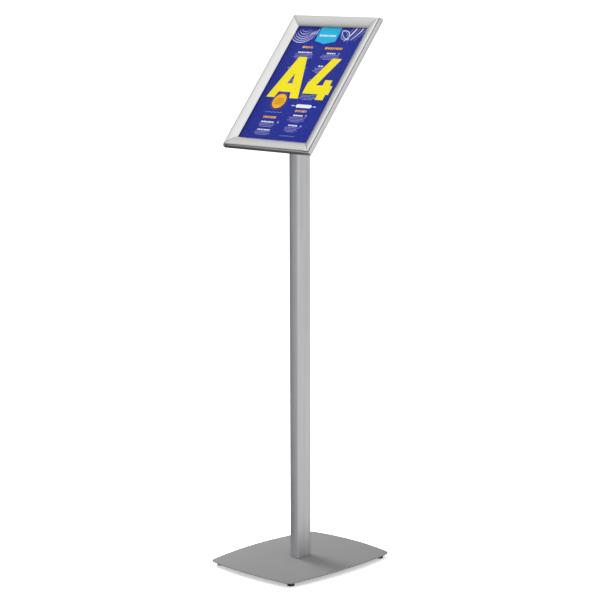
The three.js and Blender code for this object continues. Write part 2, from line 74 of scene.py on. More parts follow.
HINGE = {joint["name"].removeprefix("open_"): joint for joint in frame["joints"]}
HINGE_AT = {side: np.array(HINGE[side]["pos_m"]) for side in SIDES}
ACROSS = np.array([1.0, 0.0, 0.0])
UP_SLOPE = np.array(HINGE["right"]["axis"], float)
OUT = np.cross(ACROSS, UP_SLOPE)
TILT = math.atan2(UP_SLOPE[2], UP_SLOPE[1])


def node_points(name):
    """All corner points of a carried-over node, as an n x 3 array."""
    mesh = frame["nodes"][name].data
    flat = np.empty(3 * len(mesh.vertices), np.float32)
    mesh.vertices.foreach_get("co", flat)
    return flat.reshape(-1, 3).astype(float)


def reach(name, direction):
    """Lowest and highest distance of a node's points along a unit direction, from the origin."""
    along = node_points(name) @ direction
    return along.min(), along.max()


BACK_PLANE = reach("base_rail_bottom", OUT)[0]
PANEL_LOW, PANEL_HIGH = reach("base_rail_bottom", UP_SLOPE)[0], reach("base_rail_top", UP_SLOPE)[1]
PANEL_WIDTH = 2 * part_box("base_rail_right")[1].x
PANEL_HEIGHT = PANEL_HIGH - PANEL_LOW
PANEL_CENTRE = OUT * BACK_PLANE + UP_SLOPE * (PANEL_LOW + PANEL_HIGH) / 2
CURL_HEIGHT = float(HINGE_AT["right"] @ OUT - BACK_PLANE)
CURL_INSET = float(PANEL_WIDTH / 2 - HINGE_AT["right"][0])
INSERT_TOP = reach("insert_sheet", OUT)[1] - BACK_PLANE
WINDOW_TOP = reach("window_sheet", OUT)[1] - BACK_PLANE
BASE_LOW, BASE_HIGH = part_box("base_plate")


# ------------------------------------------------------------------ what a user would change


class SignStandFrame(bpy.types.PropertyGroup):
    """Section of the snap frame's rails and covers."""

    rail_width: FloatProperty(
        name="Rail width", description="Width of one side, from the front",
        default=25 * MM, unit="LENGTH",
    )
    cover_skin: FloatProperty(
        name="Cover skin", description="Thickness of the covers", default=1.15 * MM, unit="LENGTH",
    )
    lip_height: FloatProperty(
        name="Lip height", description="Lowest point of the covers' lips, above the back plane",
        default=float(WINDOW_TOP) + 0.3 * MM, unit="LENGTH",
    )
    curl_radius: FloatProperty(
        name="Curl radius", description="Outer radius of the hinge curl",
        default=2.35 * MM, unit="LENGTH",
    )
    curl_wall: FloatProperty(
        name="Curl wall", description="Thickness of the hinge curl", default=1.1 * MM, unit="LENGTH",
    )
    curl_cutback: FloatProperty(
        name="Curl cut back", description="Curl and leg stop this far short of a cover's ends",
        default=18 * MM, unit="LENGTH",
    )
    groove_clearance: FloatProperty(
        name="Groove clearance", description="Curl to groove, in radius",
        default=0.15 * MM, unit="LENGTH",
    )
    mitre_gap: FloatProperty(
        name="Mitre gap", description="Each mitred end stands back by this",
        default=0.3 * MM, unit="LENGTH",
    )
    mitre_ease: FloatProperty(
        name="Mitre ease", description="Rounding of the sawn ends", default=0.14 * MM, unit="LENGTH",
    )
    crown_steps: IntProperty(
        name="Crown steps", description="Facets across a cover's crown", default=44, min=8, max=200,
    )


class SignStandBase(bpy.types.PropertyGroup):
    """Pressed steel foot."""

    width: FloatProperty(
        name="Width", description="Across, at the middle of its bowed edges",
        default=float(BASE_HIGH.x - BASE_LOW.x), unit="LENGTH",
    )
    depth: FloatProperty(
        name="Depth", description="Front to back, at the middle of its bowed edges",
        default=float(BASE_HIGH.y - BASE_LOW.y), unit="LENGTH",
    )
    thickness: FloatProperty(
        name="Thickness", description="Sheet thickness", default=3 * MM, unit="LENGTH",
    )
    bow_x: FloatProperty(
        name="Side bow", description="How far the long edges stand out at their middle",
        default=12 * MM, unit="LENGTH",
    )
    bow_y: FloatProperty(
        name="End bow", description="How far the short edges stand out at their middle",
        default=8.6 * MM, unit="LENGTH",
    )
    corner: FloatProperty(
        name="Corner", description="Reach of the rounded corners", default=14 * MM, unit="LENGTH",
    )
    corner_drop: FloatProperty(
        name="Corner drop", description="The plate is pressed down by this towards its corners",
        default=2.2 * MM, unit="LENGTH",
    )
    rim: FloatProperty(
        name="Rim", description="Rounding of the plate's edge", default=0.9 * MM, unit="LENGTH",
    )


class SignStandFinish(bpy.types.PropertyGroup):
    """Colours of the finishes and inks, as linear light."""

    cover: FloatVectorProperty(
        name="Covers", description="Satin anodised covers", subtype="COLOR",
        default=(0.76, 0.76, 0.75), min=0, max=1,
    )
    post: FloatVectorProperty(
        name="Post", description="Anodised post", subtype="COLOR",
        default=(0.53, 0.533, 0.545), min=0, max=1,
    )
    rail: FloatVectorProperty(
        name="Rails", description="Mill finish rails", subtype="COLOR",
        default=(0.63, 0.63, 0.635), min=0, max=1,
    )
    foot: FloatVectorProperty(
        name="Foot", description="Powder coated foot", subtype="COLOR",
        default=(0.22, 0.22, 0.222), min=0, max=1,
    )
    field: FloatVectorProperty(
        name="Poster field", description="Ground colour of the poster", subtype="COLOR",
        default=(0.008, 0.018, 0.245), min=0, max=1,
    )
    mark: FloatVectorProperty(
        name="Size mark", description="Ink of the large sheet size mark", subtype="COLOR",
        default=(0.80, 0.68, 0.008), min=0, max=1,
    )
    pennant: FloatVectorProperty(
        name="Pennant", description="Ink of the pennant", subtype="COLOR",
        default=(0.012, 0.40, 0.64), min=0, max=1,
    )
    accent: FloatVectorProperty(
        name="Accent", description="Ink of the disc and headings", subtype="COLOR",
        default=(0.80, 0.39, 0.006), min=0, max=1,
    )
    title: FloatVectorProperty(
        name="Titles", description="Ink of the title bars", subtype="COLOR",
        default=(0.72, 0.74, 0.86), min=0, max=1,
    )
    text: FloatVectorProperty(
        name="Text", description="Ink of the text lines and line art", subtype="COLOR",
        default=(0.30, 0.31, 0.62), min=0, max=1,
    )


class SignStandStage(bpy.types.PropertyGroup):
    """Camera and light."""

    azimuth: FloatProperty(
        name="Azimuth", description="Camera's turn from the front towards the right",
        default=math.radians(44.34), subtype="ANGLE",
    )
    elevation: FloatProperty(
        name="Elevation", description="Camera's height angle", default=math.radians(9.73),
        subtype="ANGLE",
    )
    roll: FloatProperty(
        name="Roll", description="Camera's lean", default=math.radians(-0.12), subtype="ANGLE",
    )
    aim_height: FloatProperty(
        name="Aim height", description="Height of the point looked at", default=0.5473,
        unit="LENGTH",
    )
    distance: FloatProperty(
        name="Distance", description="Camera to the point looked at", default=4.159, unit="LENGTH",
    )
    lens: FloatProperty(
        name="Focal length", description="In millimetres, on a 36 mm sensor", default=123.5, min=1,
    )
    key_power: FloatProperty(
        name="Key", description="Power of the key light", default=70, unit="POWER",
    )
    low_power: FloatProperty(
        name="Low light", description="Power of the small light beside the foot", default=4.5,
        unit="POWER",
    )
    room: FloatProperty(
        name="Room", description="Brightness of the room's diffuse light", default=1.06, min=0,
    )


GROUPS = {
    "sign_stand_frame": SignStandFrame,
    "sign_stand_base": SignStandBase,
    "sign_stand_finish": SignStandFinish,
    "sign_stand_stage": SignStandStage,
}


# ------------------------------------------------------------------ numpy surfaces


def panel_points(x, up, out):
    """Points of the poster frame's plane: centre + x across + up along the slope + out of it."""
    x, up, out = np.broadcast_arrays(*(np.asarray(v, float) for v in (x, up, out)))
    lift = out[..., None] * OUT
    return PANEL_CENTRE + x[..., None] * ACROSS + up[..., None] * UP_SLOPE + lift


def rail_points(side, along, s, t):
    """Points of one side of the frame: the bottom side's (along, s, t), turned in the panel's
    plane by 0, 90, 180 or 270 degrees about the panel's centre."""
    quarter = SIDES.index(side)
    half = (PANEL_HEIGHT, PANEL_WIDTH)[quarter % 2] / 2
    cos, sin = ((1, 0), (0, 1), (-1, 0), (0, -1))[quarter]
    inward = s - half
    return panel_points(cos * along - sin * inward, sin * along + cos * inward, t)


def side_length(side):
    """Outer length of one side of the frame."""
    return (PANEL_WIDTH, PANEL_HEIGHT)[SIDES.index(side) % 2]


def bezier(points, share):
    """Point on a Bezier curve: neighbouring control points are blended by share until one is
    left."""
    level = np.asarray(points, float)[:, None, :]
    share = np.atleast_1d(np.asarray(share, float))[None, :, None]
    while len(level) > 1:
        level = level[:-1] * (1 - share) + level[1:] * share
    return level[0]


def unit(vectors):
    """Vectors scaled to length one."""
    return vectors / np.linalg.norm(vectors, axis=-1, keepdims=True)


def arc(centre, radius, start, end, steps):
    """Points centre + radius (cos a, sin a), with a in degrees from start to end."""
    turn = np.radians(np.linspace(start, end, steps + 1))
    return np.asarray(centre) + radius * np.stack([np.cos(turn), np.sin(turn)], axis=-1)


def inset(section, distance):
    """A closed section moved inwards: each point goes along the mean of its two edges' inner
    normals, by distance."""
    edge = unit(np.roll(section, -1, axis=0) - section)
    both = unit(edge + np.roll(edge, 1, axis=0))
    inward = np.stack([-both[:, 1], both[:, 0]], axis=-1)
    x, y = section.T
    area = np.sum(x * np.roll(y, -1) - np.roll(x, -1) * y)
    return section + math.copysign(distance, area) * inward


def ring_faces(index):
    """Quads between neighbouring closed rings of vertex numbers: index is rings x points."""
    beside = np.roll(index, -1, axis=1)
    quads = np.stack([index[:-1], beside[:-1], beside[1:], index[1:]], axis=-1)
    return quads.reshape(-1, 4).tolist()


def loft(rings):
    """Skin over closed rings (rings x points x 3), with a flat face over each end."""
    index = np.arange(rings.shape[0] * rings.shape[1]).reshape(rings.shape[:2])
    faces = ring_faces(index) + [index[0][::-1].tolist(), index[-1].tolist()]
    return rings.reshape(-1, 3), faces


def torus(rings):
    """Skin over closed rings whose last ring meets the first again."""
    index = np.arange(rings.shape[0] * rings.shape[1]).reshape(rings.shape[:2])
    closed = np.vstack([index, index[:1]])
    return rings.reshape(-1, 3), ring_faces(closed)


def merged(shapes):
    """Several (points, faces) put into one."""
    points = np.vstack([p for p, _ in shapes])
    starts = np.cumsum([0] + [len(p) for p, _ in shapes[:-1]])
    faces = [[int(i + start) for i in face] for (_, fs), start in zip(shapes, starts) for face in fs]
    return points, faces


def turned(profile, steps, centre, axis, spoke):
    """Rings of radius r at height h about an axis: centre + h axis + r (cos a spoke + sin a
    third). The profile (n x 2) may hold an n x steps array of radii instead of one radius."""
    axis, spoke = np.asarray(axis, float), np.asarray(spoke, float)
    third = np.cross(axis, spoke)
    turn = 2 * np.pi * np.arange(steps) / steps
    radius = np.array([np.broadcast_to(r, steps) for r, _ in profile])
    height = np.array([h for _, h in profile])[:, None, None]
    wheel = np.cos(turn)[:, None] * spoke + np.sin(turn)[:, None] * third
    return np.asarray(centre, float) + height * axis + radius[..., None] * wheel


def make_piece(name, points, faces, body, material, replaces=(), uv=None):
    """Puts points and faces into a new mesh, turns the faces outwards if the volume they
    enclose comes out negative, and hands the piece to its body."""
    mesh = bpy.data.meshes.new(name)
    mesh.from_pydata(points.tolist(), [], faces)
    if uv is not None:
        layer = mesh.uv_layers.new(name="along_across")
        loops = np.empty(len(mesh.loops), np.int32)
        mesh.loops.foreach_get("vertex_index", loops)
        layer.uv.foreach_set("vector", uv[loops].astype(np.float32).ravel())
    shell = bmesh.new()
    shell.from_mesh(mesh)
    if shell.calc_volume(signed=True) < 0:
        bmesh.ops.reverse_faces(shell, faces=shell.faces)
    shell.to_mesh(mesh)
    shell.free()
    mesh.polygons.foreach_set("use_smooth", [True] * len(mesh.polygons))
    mesh.set_sharp_from_angle(angle=CREASE)
    mesh.materials.append(material)
    mesh.validate()
    piece = bpy.data.objects.new(name, mesh)
    bpy.context.scene.collection.objects.link(piece)
    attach(piece, body)
    if replaces:
        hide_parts(*replaces)
    return piece


def dress(material, *names):
    """Gives carried-over nodes a finish."""
    for name in names:
        frame["nodes"][name].material_slots[0].material = material


def nodes_named(*starts):
    """Names of the carried-over nodes that start so."""
    return [name for name in sorted(frame["nodes"]) if name.startswith(starts)]


# ------------------------------------------------------------------ shared shader groups


def new_group(name, inputs, outputs):
    """An empty shader group with the given sockets; returns it with its input and output node."""
    group = bpy.data.node_groups.new(name, "ShaderNodeTree")
    for label, kind, value in inputs:
        socket = group.interface.new_socket(name=label, in_out="INPUT", socket_type=kind)
        if value is not None:
            socket.default_value = value
    for label, kind in outputs:
        group.interface.new_socket(name=label, in_out="OUTPUT", socket_type=kind)
    return group, group.nodes.new("NodeGroupInput"), group.nodes.new("NodeGroupOutput")


def scaled(tree, vector, stretch):
    """The vector multiplied by (x, y, z)."""
    node = tree.nodes.new("ShaderNodeVectorMath")
    node.operation = "MULTIPLY"
    tree.links.new(vector, node.inputs[0])
    node.inputs[1].default_value = stretch
    return node.outputs[0]


def noise(tree, vector, scale, detail=2.0, roughness=0.5):
    """Fractal noise, 0 to 1."""
    node = tree.nodes.new("ShaderNodeTexNoise")
    tree.links.new(vector, node.inputs["Vector"])
    if isinstance(scale, (int, float)):
        node.inputs["Scale"].default_value = scale
    else:
        tree.links.new(scale, node.inputs["Scale"])
    node.inputs["Detail"].default_value = detail
    node.inputs["Roughness"].default_value = roughness
    return node.outputs["Fac"]


def arithmetic(tree, operation, first, second, clamp=False):
    """A math node; each side is a socket or a number."""
    node = tree.nodes.new("ShaderNodeMath")
    node.operation = operation
    node.use_clamp = clamp
    for socket, value in zip(node.inputs, (first, second)):
        if isinstance(value, (int, float)):
            socket.default_value = value
        else:
            tree.links.new(value, socket)
    return node.outputs[0]


def remap(tree, value, low, high, to_low, to_high):
    """The value's span low..high stretched to to_low..to_high, and held at its ends."""
    node = tree.nodes.new("ShaderNodeMapRange")
    for socket, given in zip(node.inputs, (value, low, high, to_low, to_high)):
        if isinstance(given, (int, float)):
            socket.default_value = given
        else:
            tree.links.new(given, socket)
    return node.outputs[0]


def drawn_grain_group():
    """Fine die lines along X of the given vector: noise stretched a thousandfold along X, plus
    slow bands across. Height is for bump, Tone varies the colour."""
    group, take, give = new_group(
        "drawn_grain",
        [("Vector", "NodeSocketVector", None), ("Lines", "NodeSocketFloat", 900.0)],
        [("Height", "NodeSocketFloat"), ("Tone", "NodeSocketFloat")],
    )
    stretched = scaled(group, take.outputs["Vector"], (0.006, 1.0, 1.0))
    lines = noise(group, stretched, take.outputs["Lines"], 3.0, 0.65)
    bands = noise(group, scaled(group, take.outputs["Vector"], (0.02, 1.0, 1.0)), 120.0, 1.0)
    group.links.new(lines, give.inputs["Height"])
    blend = arithmetic(group, "MULTIPLY_ADD", bands, 0.5)
    blend.node.inputs[2].default_value = 0.0
    tone = arithmetic(group, "MULTIPLY_ADD", lines, 0.5)
    group.links.new(blend, tone.node.inputs[2])
    group.links.new(tone, give.inputs["Tone"])
    return group


def orange_peel_group():
    """Cured powder: soft rolling bumps plus a fine grain, and a tone from the fine grain."""
    group, take, give = new_group(
        "orange_peel",
        [("Vector", "NodeSocketVector", None), ("Scale", "NodeSocketFloat", 900.0)],
        [("Height", "NodeSocketFloat"), ("Tone", "NodeSocketFloat")],
    )
    fine = arithmetic(group, "MULTIPLY", take.outputs["Scale"], 3.1)
    rolling = noise(group, take.outputs["Vector"], take.outputs["Scale"], 1.0)
    grain = noise(group, take.outputs["Vector"], fine, 2.0, 0.7)
    height = arithmetic(group, "MULTIPLY_ADD", grain, 0.35)
    group.links.new(rolling, height.node.inputs[2])
    group.links.new(height, give.inputs["Height"])
    group.links.new(grain, give.inputs["Tone"])
    return group


def handling_group():
    """Handled patches: slow noise broken by finer noise, as a roughness between Low and High."""
    group, take, give = new_group(
        "handling",
        [
            ("Vector", "NodeSocketVector", None),
            ("Size", "NodeSocketFloat", 14.0),
            ("Low", "NodeSocketFloat", 0.35),
            ("High", "NodeSocketFloat", 0.45),
        ],
        [("Roughness", "NodeSocketFloat"), ("Mask", "NodeSocketFloat")],
    )
    slow = noise(group, take.outputs["Vector"], take.outputs["Size"], 4.0, 0.6)
    mask = remap(group, slow, 0.38, 0.66, 0.0, 1.0)
    rough = group.nodes.new("ShaderNodeMapRange")
    group.links.new(mask, rough.inputs["Value"])
    group.links.new(take.outputs["Low"], rough.inputs["To Min"])
    group.links.new(take.outputs["High"], rough.inputs["To Max"])
    group.links.new(rough.outputs[0], give.inputs["Roughness"])
    group.links.new(mask, give.inputs["Mask"])
    return group


def shade_between_group():
    """A colour between two, by a tone whose span is narrowed round its middle by Contrast."""
    group, take, give = new_group(
        "shade_between",
        [
            ("Tone", "NodeSocketFloat", 0.5),
            ("Contrast", "NodeSocketFloat", 1.0),
            ("Dark", "NodeSocketColor", (0.4, 0.4, 0.4, 1)),
            ("Light", "NodeSocketColor", (0.6, 0.6, 0.6, 1)),
        ],
        [("Color", "NodeSocketColor")],
    )
    centred = arithmetic(group, "SUBTRACT", take.outputs["Tone"], 0.5)
    spread = arithmetic(group, "MULTIPLY_ADD", centred, take.outputs["Contrast"])
    spread.node.inputs[2].default_value = 0.5
    spread.node.use_clamp = True
    mix = group.nodes.new("ShaderNodeMix")
    mix.data_type = "RGBA"
    group.links.new(spread, mix.inputs["Factor"])
    group.links.new(take.outputs["Dark"], mix.inputs["A"])
    group.links.new(take.outputs["Light"], mix.inputs["B"])
    group.links.new(mix.outputs["Result"], give.inputs["Color"])
    return group


SHARED = {}


def shared(name):
    """The shader group of that name, built the first time it is asked for."""
    builders = {
        "drawn_grain": drawn_grain_group,
        "orange_peel": orange_peel_group,
        "handling": handling_group,
        "shade_between": shade_between_group,
    }
    if name not in SHARED:
        SHARED[name] = builders[name]()
    return SHARED[name]


class Finish:
    """A material being wired up: its tree, its shader and short ways to add the shared groups."""

    def __init__(self, name, metallic, roughness, **constants):
        self.material = bpy.data.materials.new(name)
        self.material.use_nodes = True
        self.tree = self.material.node_tree
        self.shader = self.tree.nodes["Principled BSDF"]
        self.shader.inputs["Metallic"].default_value = metallic
        self.shader.inputs["Roughness"].default_value = roughness
        for label, value in constants.items():
            self.shader.inputs[label.replace("_", " ").title()].default_value = value
        place = self.tree.nodes.new("ShaderNodeTexCoord")
        self.object, self.uv = place.outputs["Object"], place.outputs["UV"]

    def place(self, source, turn=(0, 0, 0)):
        """A Mapping node that turns the source coordinates."""
        mapping = self.tree.nodes.new("ShaderNodeMapping")
        mapping.vector_type = "POINT"
        mapping.inputs["Rotation"].default_value = turn
        self.tree.links.new(source, mapping.inputs["Vector"])
        return mapping.outputs[0]

    def add(self, name, **values):
        """A shared group; each value is a socket, a number or a colour."""
        node = self.tree.nodes.new("ShaderNodeGroup")
        node.node_tree = shared(name)
        for label, value in values.items():
            if isinstance(value, bpy.types.NodeSocket):
                self.tree.links.new(value, node.inputs[label])
            else:
                node.inputs[label].default_value = value
        return node.outputs

    def feed(self, label, socket):
        """Links a socket into the shader."""
        self.tree.links.new(socket, self.shader.inputs[label])

    def bump(self, height, distance, strength=1.0):
        """Bump from a height."""
        node = self.tree.nodes.new("ShaderNodeBump")
        node.inputs["Strength"].default_value = strength
        node.inputs["Distance"].default_value = distance
        self.tree.links.new(height, node.inputs["Height"])
        if self.shader.inputs["Normal"].links:
            self.tree.links.new(self.shader.inputs["Normal"].links[0].from_socket, node.inputs["Normal"])
        self.feed("Normal", node.outputs[0])

    def tone(self, source, color, spread, contrast=1.6):
        """Base colour that strays from color by the share spread, both ways, with the source."""
        dark = tuple(c * (1 - spread) for c in color) + (1.0,)
        light = tuple(min(c * (1 + spread), 1.0) for c in color) + (1.0,)
        mixed = self.add("shade_between", Tone=source, Contrast=contrast, Dark=dark, Light=light)
        self.feed("Base Color", mixed["Color"])


FINISHES = {}
FOOT_SHADE_HEIGHTS = (10 * MM, 240 * MM)  # painted shade is darkest below the first height and gone above the second


def drawn_metal(name, color, source, turn, roughness, lines, depth, spread, metallic=1.0, foot_shade=0.0):
    """Anodised or mill finish extrusion: die lines along the source's X, handled patches, and painted
    shade that darkens it towards the floor."""
    made = Finish(name, metallic, roughness)
    vector = made.place(getattr(made, source), turn)
    grain = made.add("drawn_grain", Vector=vector, Lines=lines)
    hand = made.add(
        "handling", Vector=made.object, Size=17.0, Low=roughness - 0.05, High=roughness + 0.05,
    )
    made.feed("Roughness", hand["Roughness"])
    tone = grain["Tone"]
    # painted shade: the tone darkens towards the floor, standing in for the shadow and dark reflection
    # near the foot
    if foot_shade:
        split = made.tree.nodes.new("ShaderNodeSeparateXYZ")
        made.tree.links.new(made.object, split.inputs[0])
        foot_shade_factor = remap(made.tree, split.outputs["Z"], *FOOT_SHADE_HEIGHTS, 1 - 2 * foot_shade, 1.0)
        tone = arithmetic(made.tree, "MULTIPLY", tone, foot_shade_factor)
    made.tone(tone, color, spread + foot_shade)
    made.bump(grain["Height"], depth)
    return made.material


def coated(name, color, scale, depth, roughness, spread, metallic=0.0):
    """Powder coat: orange peel with faint speckle, and handled patches in its gloss."""
    made = Finish(name, metallic, roughness)
    peel = made.add("orange_peel", Vector=made.object, Scale=scale)
    hand = made.add(
        "handling", Vector=made.object, Size=9.0, Low=roughness - 0.06, High=roughness + 0.05,
    )
    made.feed("Roughness", hand["Roughness"])
    made.tone(peel["Tone"], color, spread, 2.2)
    made.bump(peel["Height"], depth)
    return made.material


def plated(name, color, roughness, spread):
    """Zinc plate or bright spring strip: cloudy patches and fine scratches."""
    made = Finish(name, 1.0, roughness)
    hand = made.add("handling", Vector=made.object, Size=160.0, Low=roughness - 0.08, High=roughness + 0.1)
    made.feed("Roughness", hand["Roughness"])
    made.tone(hand["Mask"], color, spread)
    grain = made.add("drawn_grain", Vector=made.object, Lines=1500.0)
    made.bump(grain["Height"], 0.006 * MM)
    return made.material


def ink(name, color, roughness=0.42, spread=0.03):
    """Printed paper: paper tooth under a thin ink, with a faint mottle."""
    made = Finish(name, 0.0, roughness)
    made.shader.inputs["Specular IOR Level"].default_value = 0.08
    peel = made.add("orange_peel", Vector=made.object, Scale=2600.0)
    hand = made.add("handling", Vector=made.object, Size=30.0, Low=roughness - 0.04, High=roughness + 0.06)
    made.feed("Roughness", hand["Roughness"])
    made.tone(peel["Tone"], color, spread)
    made.bump(peel["Height"], 0.004 * MM)
    return made.material


def moulded_rubber():
    """Matt black rubber with a fine spark-eroded texture and dust in its hollows."""
    made = Finish("rubber_black", 0.0, 0.8)
    peel = made.add("orange_peel", Vector=made.object, Scale=1700.0)
    hand = made.add("handling", Vector=made.object, Size=120.0, Low=0.68, High=0.9)
    made.feed("Roughness", hand["Roughness"])
    made.tone(hand["Mask"], (0.012, 0.012, 0.012), 0.5)
    made.bump(peel["Height"], 0.03 * MM)
    return made.material


def clear_film():
    """Anti-glare film over the poster: almost clear, with a faint haze and a soft gloss."""
    made = Finish("clear_film", 0.0, 0.22)
    made.shader.inputs["Base Color"].default_value = (0.12, 0.12, 0.13, 1.0)
    made.shader.inputs["IOR"].default_value = 1.49
    hand = made.add("handling", Vector=made.object, Size=11.0, Low=0.18, High=0.3)
    made.feed("Roughness", hand["Roughness"])
    haze = remap(made.tree, hand["Mask"], 0.0, 1.0, 0.015, 0.03)
    made.feed("Alpha", haze)
    return made.material


def finish(name):
    """The finish of that name, made the first time it is asked for."""
    colors = bpy.context.scene.sign_stand_finish
    unturned = (0, 0, 0)
    z_to_x = (0, math.pi / 2, 0)
    makers = {
        "cover": lambda: drawn_metal(
            "cover_anodised", colors.cover, "uv", unturned, 0.34, 1500.0, 0.003 * MM, 0.05,
        ),
        "rail": lambda: drawn_metal(
            "rail_mill_finish", colors.rail, "uv", unturned, 0.42, 1300.0, 0.004 * MM, 0.08,
        ),
        # the post's last value paints shade that darkens it towards the foot
        "post": lambda: drawn_metal(
            "post_anodised", colors.post, "object", z_to_x, 0.42, 1100.0, 0.004 * MM, 0.05, 0.9, 0.15,
        ),
        "foot": lambda: coated("foot_powder_coat", colors.foot, 750.0, 0.02 * MM, 0.46, 0.07, 0.35),
        "black": lambda: coated("bracket_powder_coat", (0.018, 0.018, 0.02), 900.0, 0.03 * MM, 0.5, 0.25),
        "zinc": lambda: plated("zinc_plate", (0.52, 0.53, 0.54), 0.34, 0.12),
        "spring": lambda: plated("spring_strip", (0.36, 0.37, 0.39), 0.28, 0.1),
        "board": lambda: coated("back_board", (0.62, 0.63, 0.61), 500.0, 0.015 * MM, 0.62, 0.02),
        "rubber": moulded_rubber,
        "film": clear_film,
        "field": lambda: ink("ink_field", colors.field),
        "mark": lambda: ink("ink_mark", colors.mark),
        "pennant": lambda: ink("ink_pennant", colors.pennant),
        "accent": lambda: ink("ink_accent", colors.accent),
        "title": lambda: ink("ink_title", colors.title),
        "overprint": lambda: finish("title"),
        "stamp": lambda: ink("ink_stamp", tuple(0.45 * c for c in colors.accent)),
        "text": lambda: ink("ink_text", colors.text),
    }
    if name not in FINISHES:
        FINISHES[name] = makers[name]()
    return FINISHES[name]


# ------------------------------------------------------------------ foot


def bowed_outline(half_x, half_y, bow_x, bow_y, corner, side_steps, corner_steps):
    """A rectangle whose sides bow outwards: each side is a quadratic curve through its full
    half size, each corner one on the sides' end tangents. Returns closed n x 2 points."""
    end_x, end_y = half_x - bow_x, half_y - bow_y
    run_x, run_y = end_x - corner, end_y - corner
    lean_x, lean_y = 2 * bow_x / run_y, 2 * bow_y / run_x
    pull = corner / (1 - lean_x * lean_y)
    tip_x, tip_y = run_x + pull * (1 - lean_x), run_y + pull * (1 - lean_y)
    side = np.arange(side_steps) / side_steps
    turn = np.arange(corner_steps) / corner_steps
    far_x, far_y = half_x + bow_x, half_y + bow_y
    front = bezier([(-run_x, -end_y), (0, -far_y), (run_x, -end_y)], side)
    front_corner = bezier([(run_x, -end_y), (tip_x, -tip_y), (end_x, -run_y)], turn)
    flank = bezier([(end_x, -run_y), (far_x, 0), (end_x, run_y)], side)
    rear_corner = bezier([(end_x, run_y), (tip_x, tip_y), (run_x, end_y)], turn)
    half = np.vstack([front, front_corner, flank, rear_corner])
    return np.vstack([half, -half])


def base_drop(x, y, size):
    """How far the plate lies below its middle: the product of the squares of both distances,
    each as a share of the half size, times the drop at the corners."""
    return size.corner_drop * (2 * x / size.width) ** 2 * (2 * y / size.depth) ** 2


def base_plate_shape(size):
    """Rings of the outline, shrunk by a share, over the top, round the rim and back below."""
    ring = bowed_outline(size.width / 2, size.depth / 2, size.bow_x, size.bow_y, size.corner, 30, 16)
    top = BASE_HIGH.z
    under = top - size.thickness
    quarter = np.radians(np.linspace(90, 0, 5))
    shares = np.array([0.03, 0.15, 0.3, 0.42, 0.53, 0.63, 0.72, 0.8, 0.86, 0.91, 0.95, 0.975])
    rim_share = 1 - 2 * size.rim * (1 - np.cos(quarter)) / size.width
    rim_rise = size.rim * np.sin(quarter)
    share = np.concatenate([shares, rim_share, rim_share[::-1], shares[::-1]])
    height = np.concatenate([
        np.full(len(shares), top),
        top - size.rim + rim_rise,
        under + size.rim - rim_rise[::-1],
        np.full(len(shares), under),
    ])
    x = share[:, None] * ring[None, :, 0]
    y = share[:, None] * ring[None, :, 1]
    z = height[:, None] - base_drop(x, y, size)
    return loft(np.stack([x, y, z], axis=-1))


def foot_shape(name):
    """A turned rubber foot: rounded tread with two grooves, tapered side, flat top."""
    low, high = (np.array(v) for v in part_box(name))
    centre = np.array([*(low + high)[:2] / 2, low[2]])
    radius, height = (high - low)[0] / 2, (high - low)[2]
    profile = [(0.12, 0.22), (0.3, 0.22), (0.33, 0.12), (0.36, 0.02), (0.4, 0.0), (0.52, 0.0)]
    profile += [(0.56, 0.02), (0.59, 0.12), (0.66, 0.12), (0.69, 0.02), (0.73, 0.0), (0.88, 0.0)]
    profile += [(0.94, 0.025), (0.98, 0.07), (1.0, 0.14), (0.99, 0.3), (0.955, 0.86), (0.935, 0.95)]
    profile += [(0.89, 1.0), (0.5, 1.0), (0.1, 1.0)]
    scaled_profile = [(r * radius, h * height) for r, h in profile]
    return loft(turned(scaled_profile, 48, centre, (0, 0, 1), (1, 0, 0)))


class SIGNSTAND_OT_foot(bpy.types.Operator):
    """Make the pressed foot and its four rubber pads"""

    bl_idname = "signstand.foot"
    bl_label = "Foot"

    def execute(self, context):
        size = context.scene.sign_stand_base
        points, faces = base_plate_shape(size)
        make_piece(
            "foot_plate", points, faces, STAND, finish("foot"), ["base_plate"],
        )
        for name in nodes_named("rubber_foot"):
            points, faces = foot_shape(name)
            pad = name.replace("rubber_foot", "rubber_pad")
            make_piece(pad, points, faces, STAND, finish("rubber"), [name])
        return {"FINISHED"}


# ------------------------------------------------------------------ post and head bracket


def axle(name, direction):
    """Start and length of a turned node's axis along a unit direction: the middle of its reach
    across, and the ends of its reach along."""
    direction = np.asarray(direction, float)
    third = np.cross(direction, spoke_of(direction))
    low, high = reach(name, direction)
    start = low * direction
    for across in (spoke_of(direction), third):
        start = start + across * sum(reach(name, across)) / 2
    return start, high - low


def spoke_of(direction):
    """A unit vector square to the direction: across the stand, or to the front where the
    direction itself runs across."""
    return np.array([0.0, -1.0, 0.0]) if abs(direction[0]) > 0.5 else ACROSS


def hexagon(across, steps):
    """Radius of a hexagon at each of the steps round: half its width across the flats over the
    cosine of the angle from the nearest flat's middle."""
    turn = 2 * np.pi * np.arange(steps) / steps
    return across / 2 / np.cos((turn + np.pi / 6) % (np.pi / 3) - np.pi / 6)


def thread_rows(start, end, core, crest, pitch, steps):
    """Rows (radius, height) of a helical thread: the radius runs from core to crest with the
    fraction of height / pitch minus the turn, as a flat-topped ridge."""
    turn = np.arange(steps) / steps
    heights = np.arange(start, end, pitch / 7)
    share = (heights[:, None] / pitch - turn) % 1
    ridge = np.clip(2.6 * (0.5 - np.abs(share - 0.5)) - 0.25, 0, 1)
    fade = np.clip(np.minimum(heights - start, end - heights) / pitch, 0, 1)[:, None]
    radius = core + (crest - core) * ridge * fade
    return [(row, height) for row, height in zip(radius, heights)]


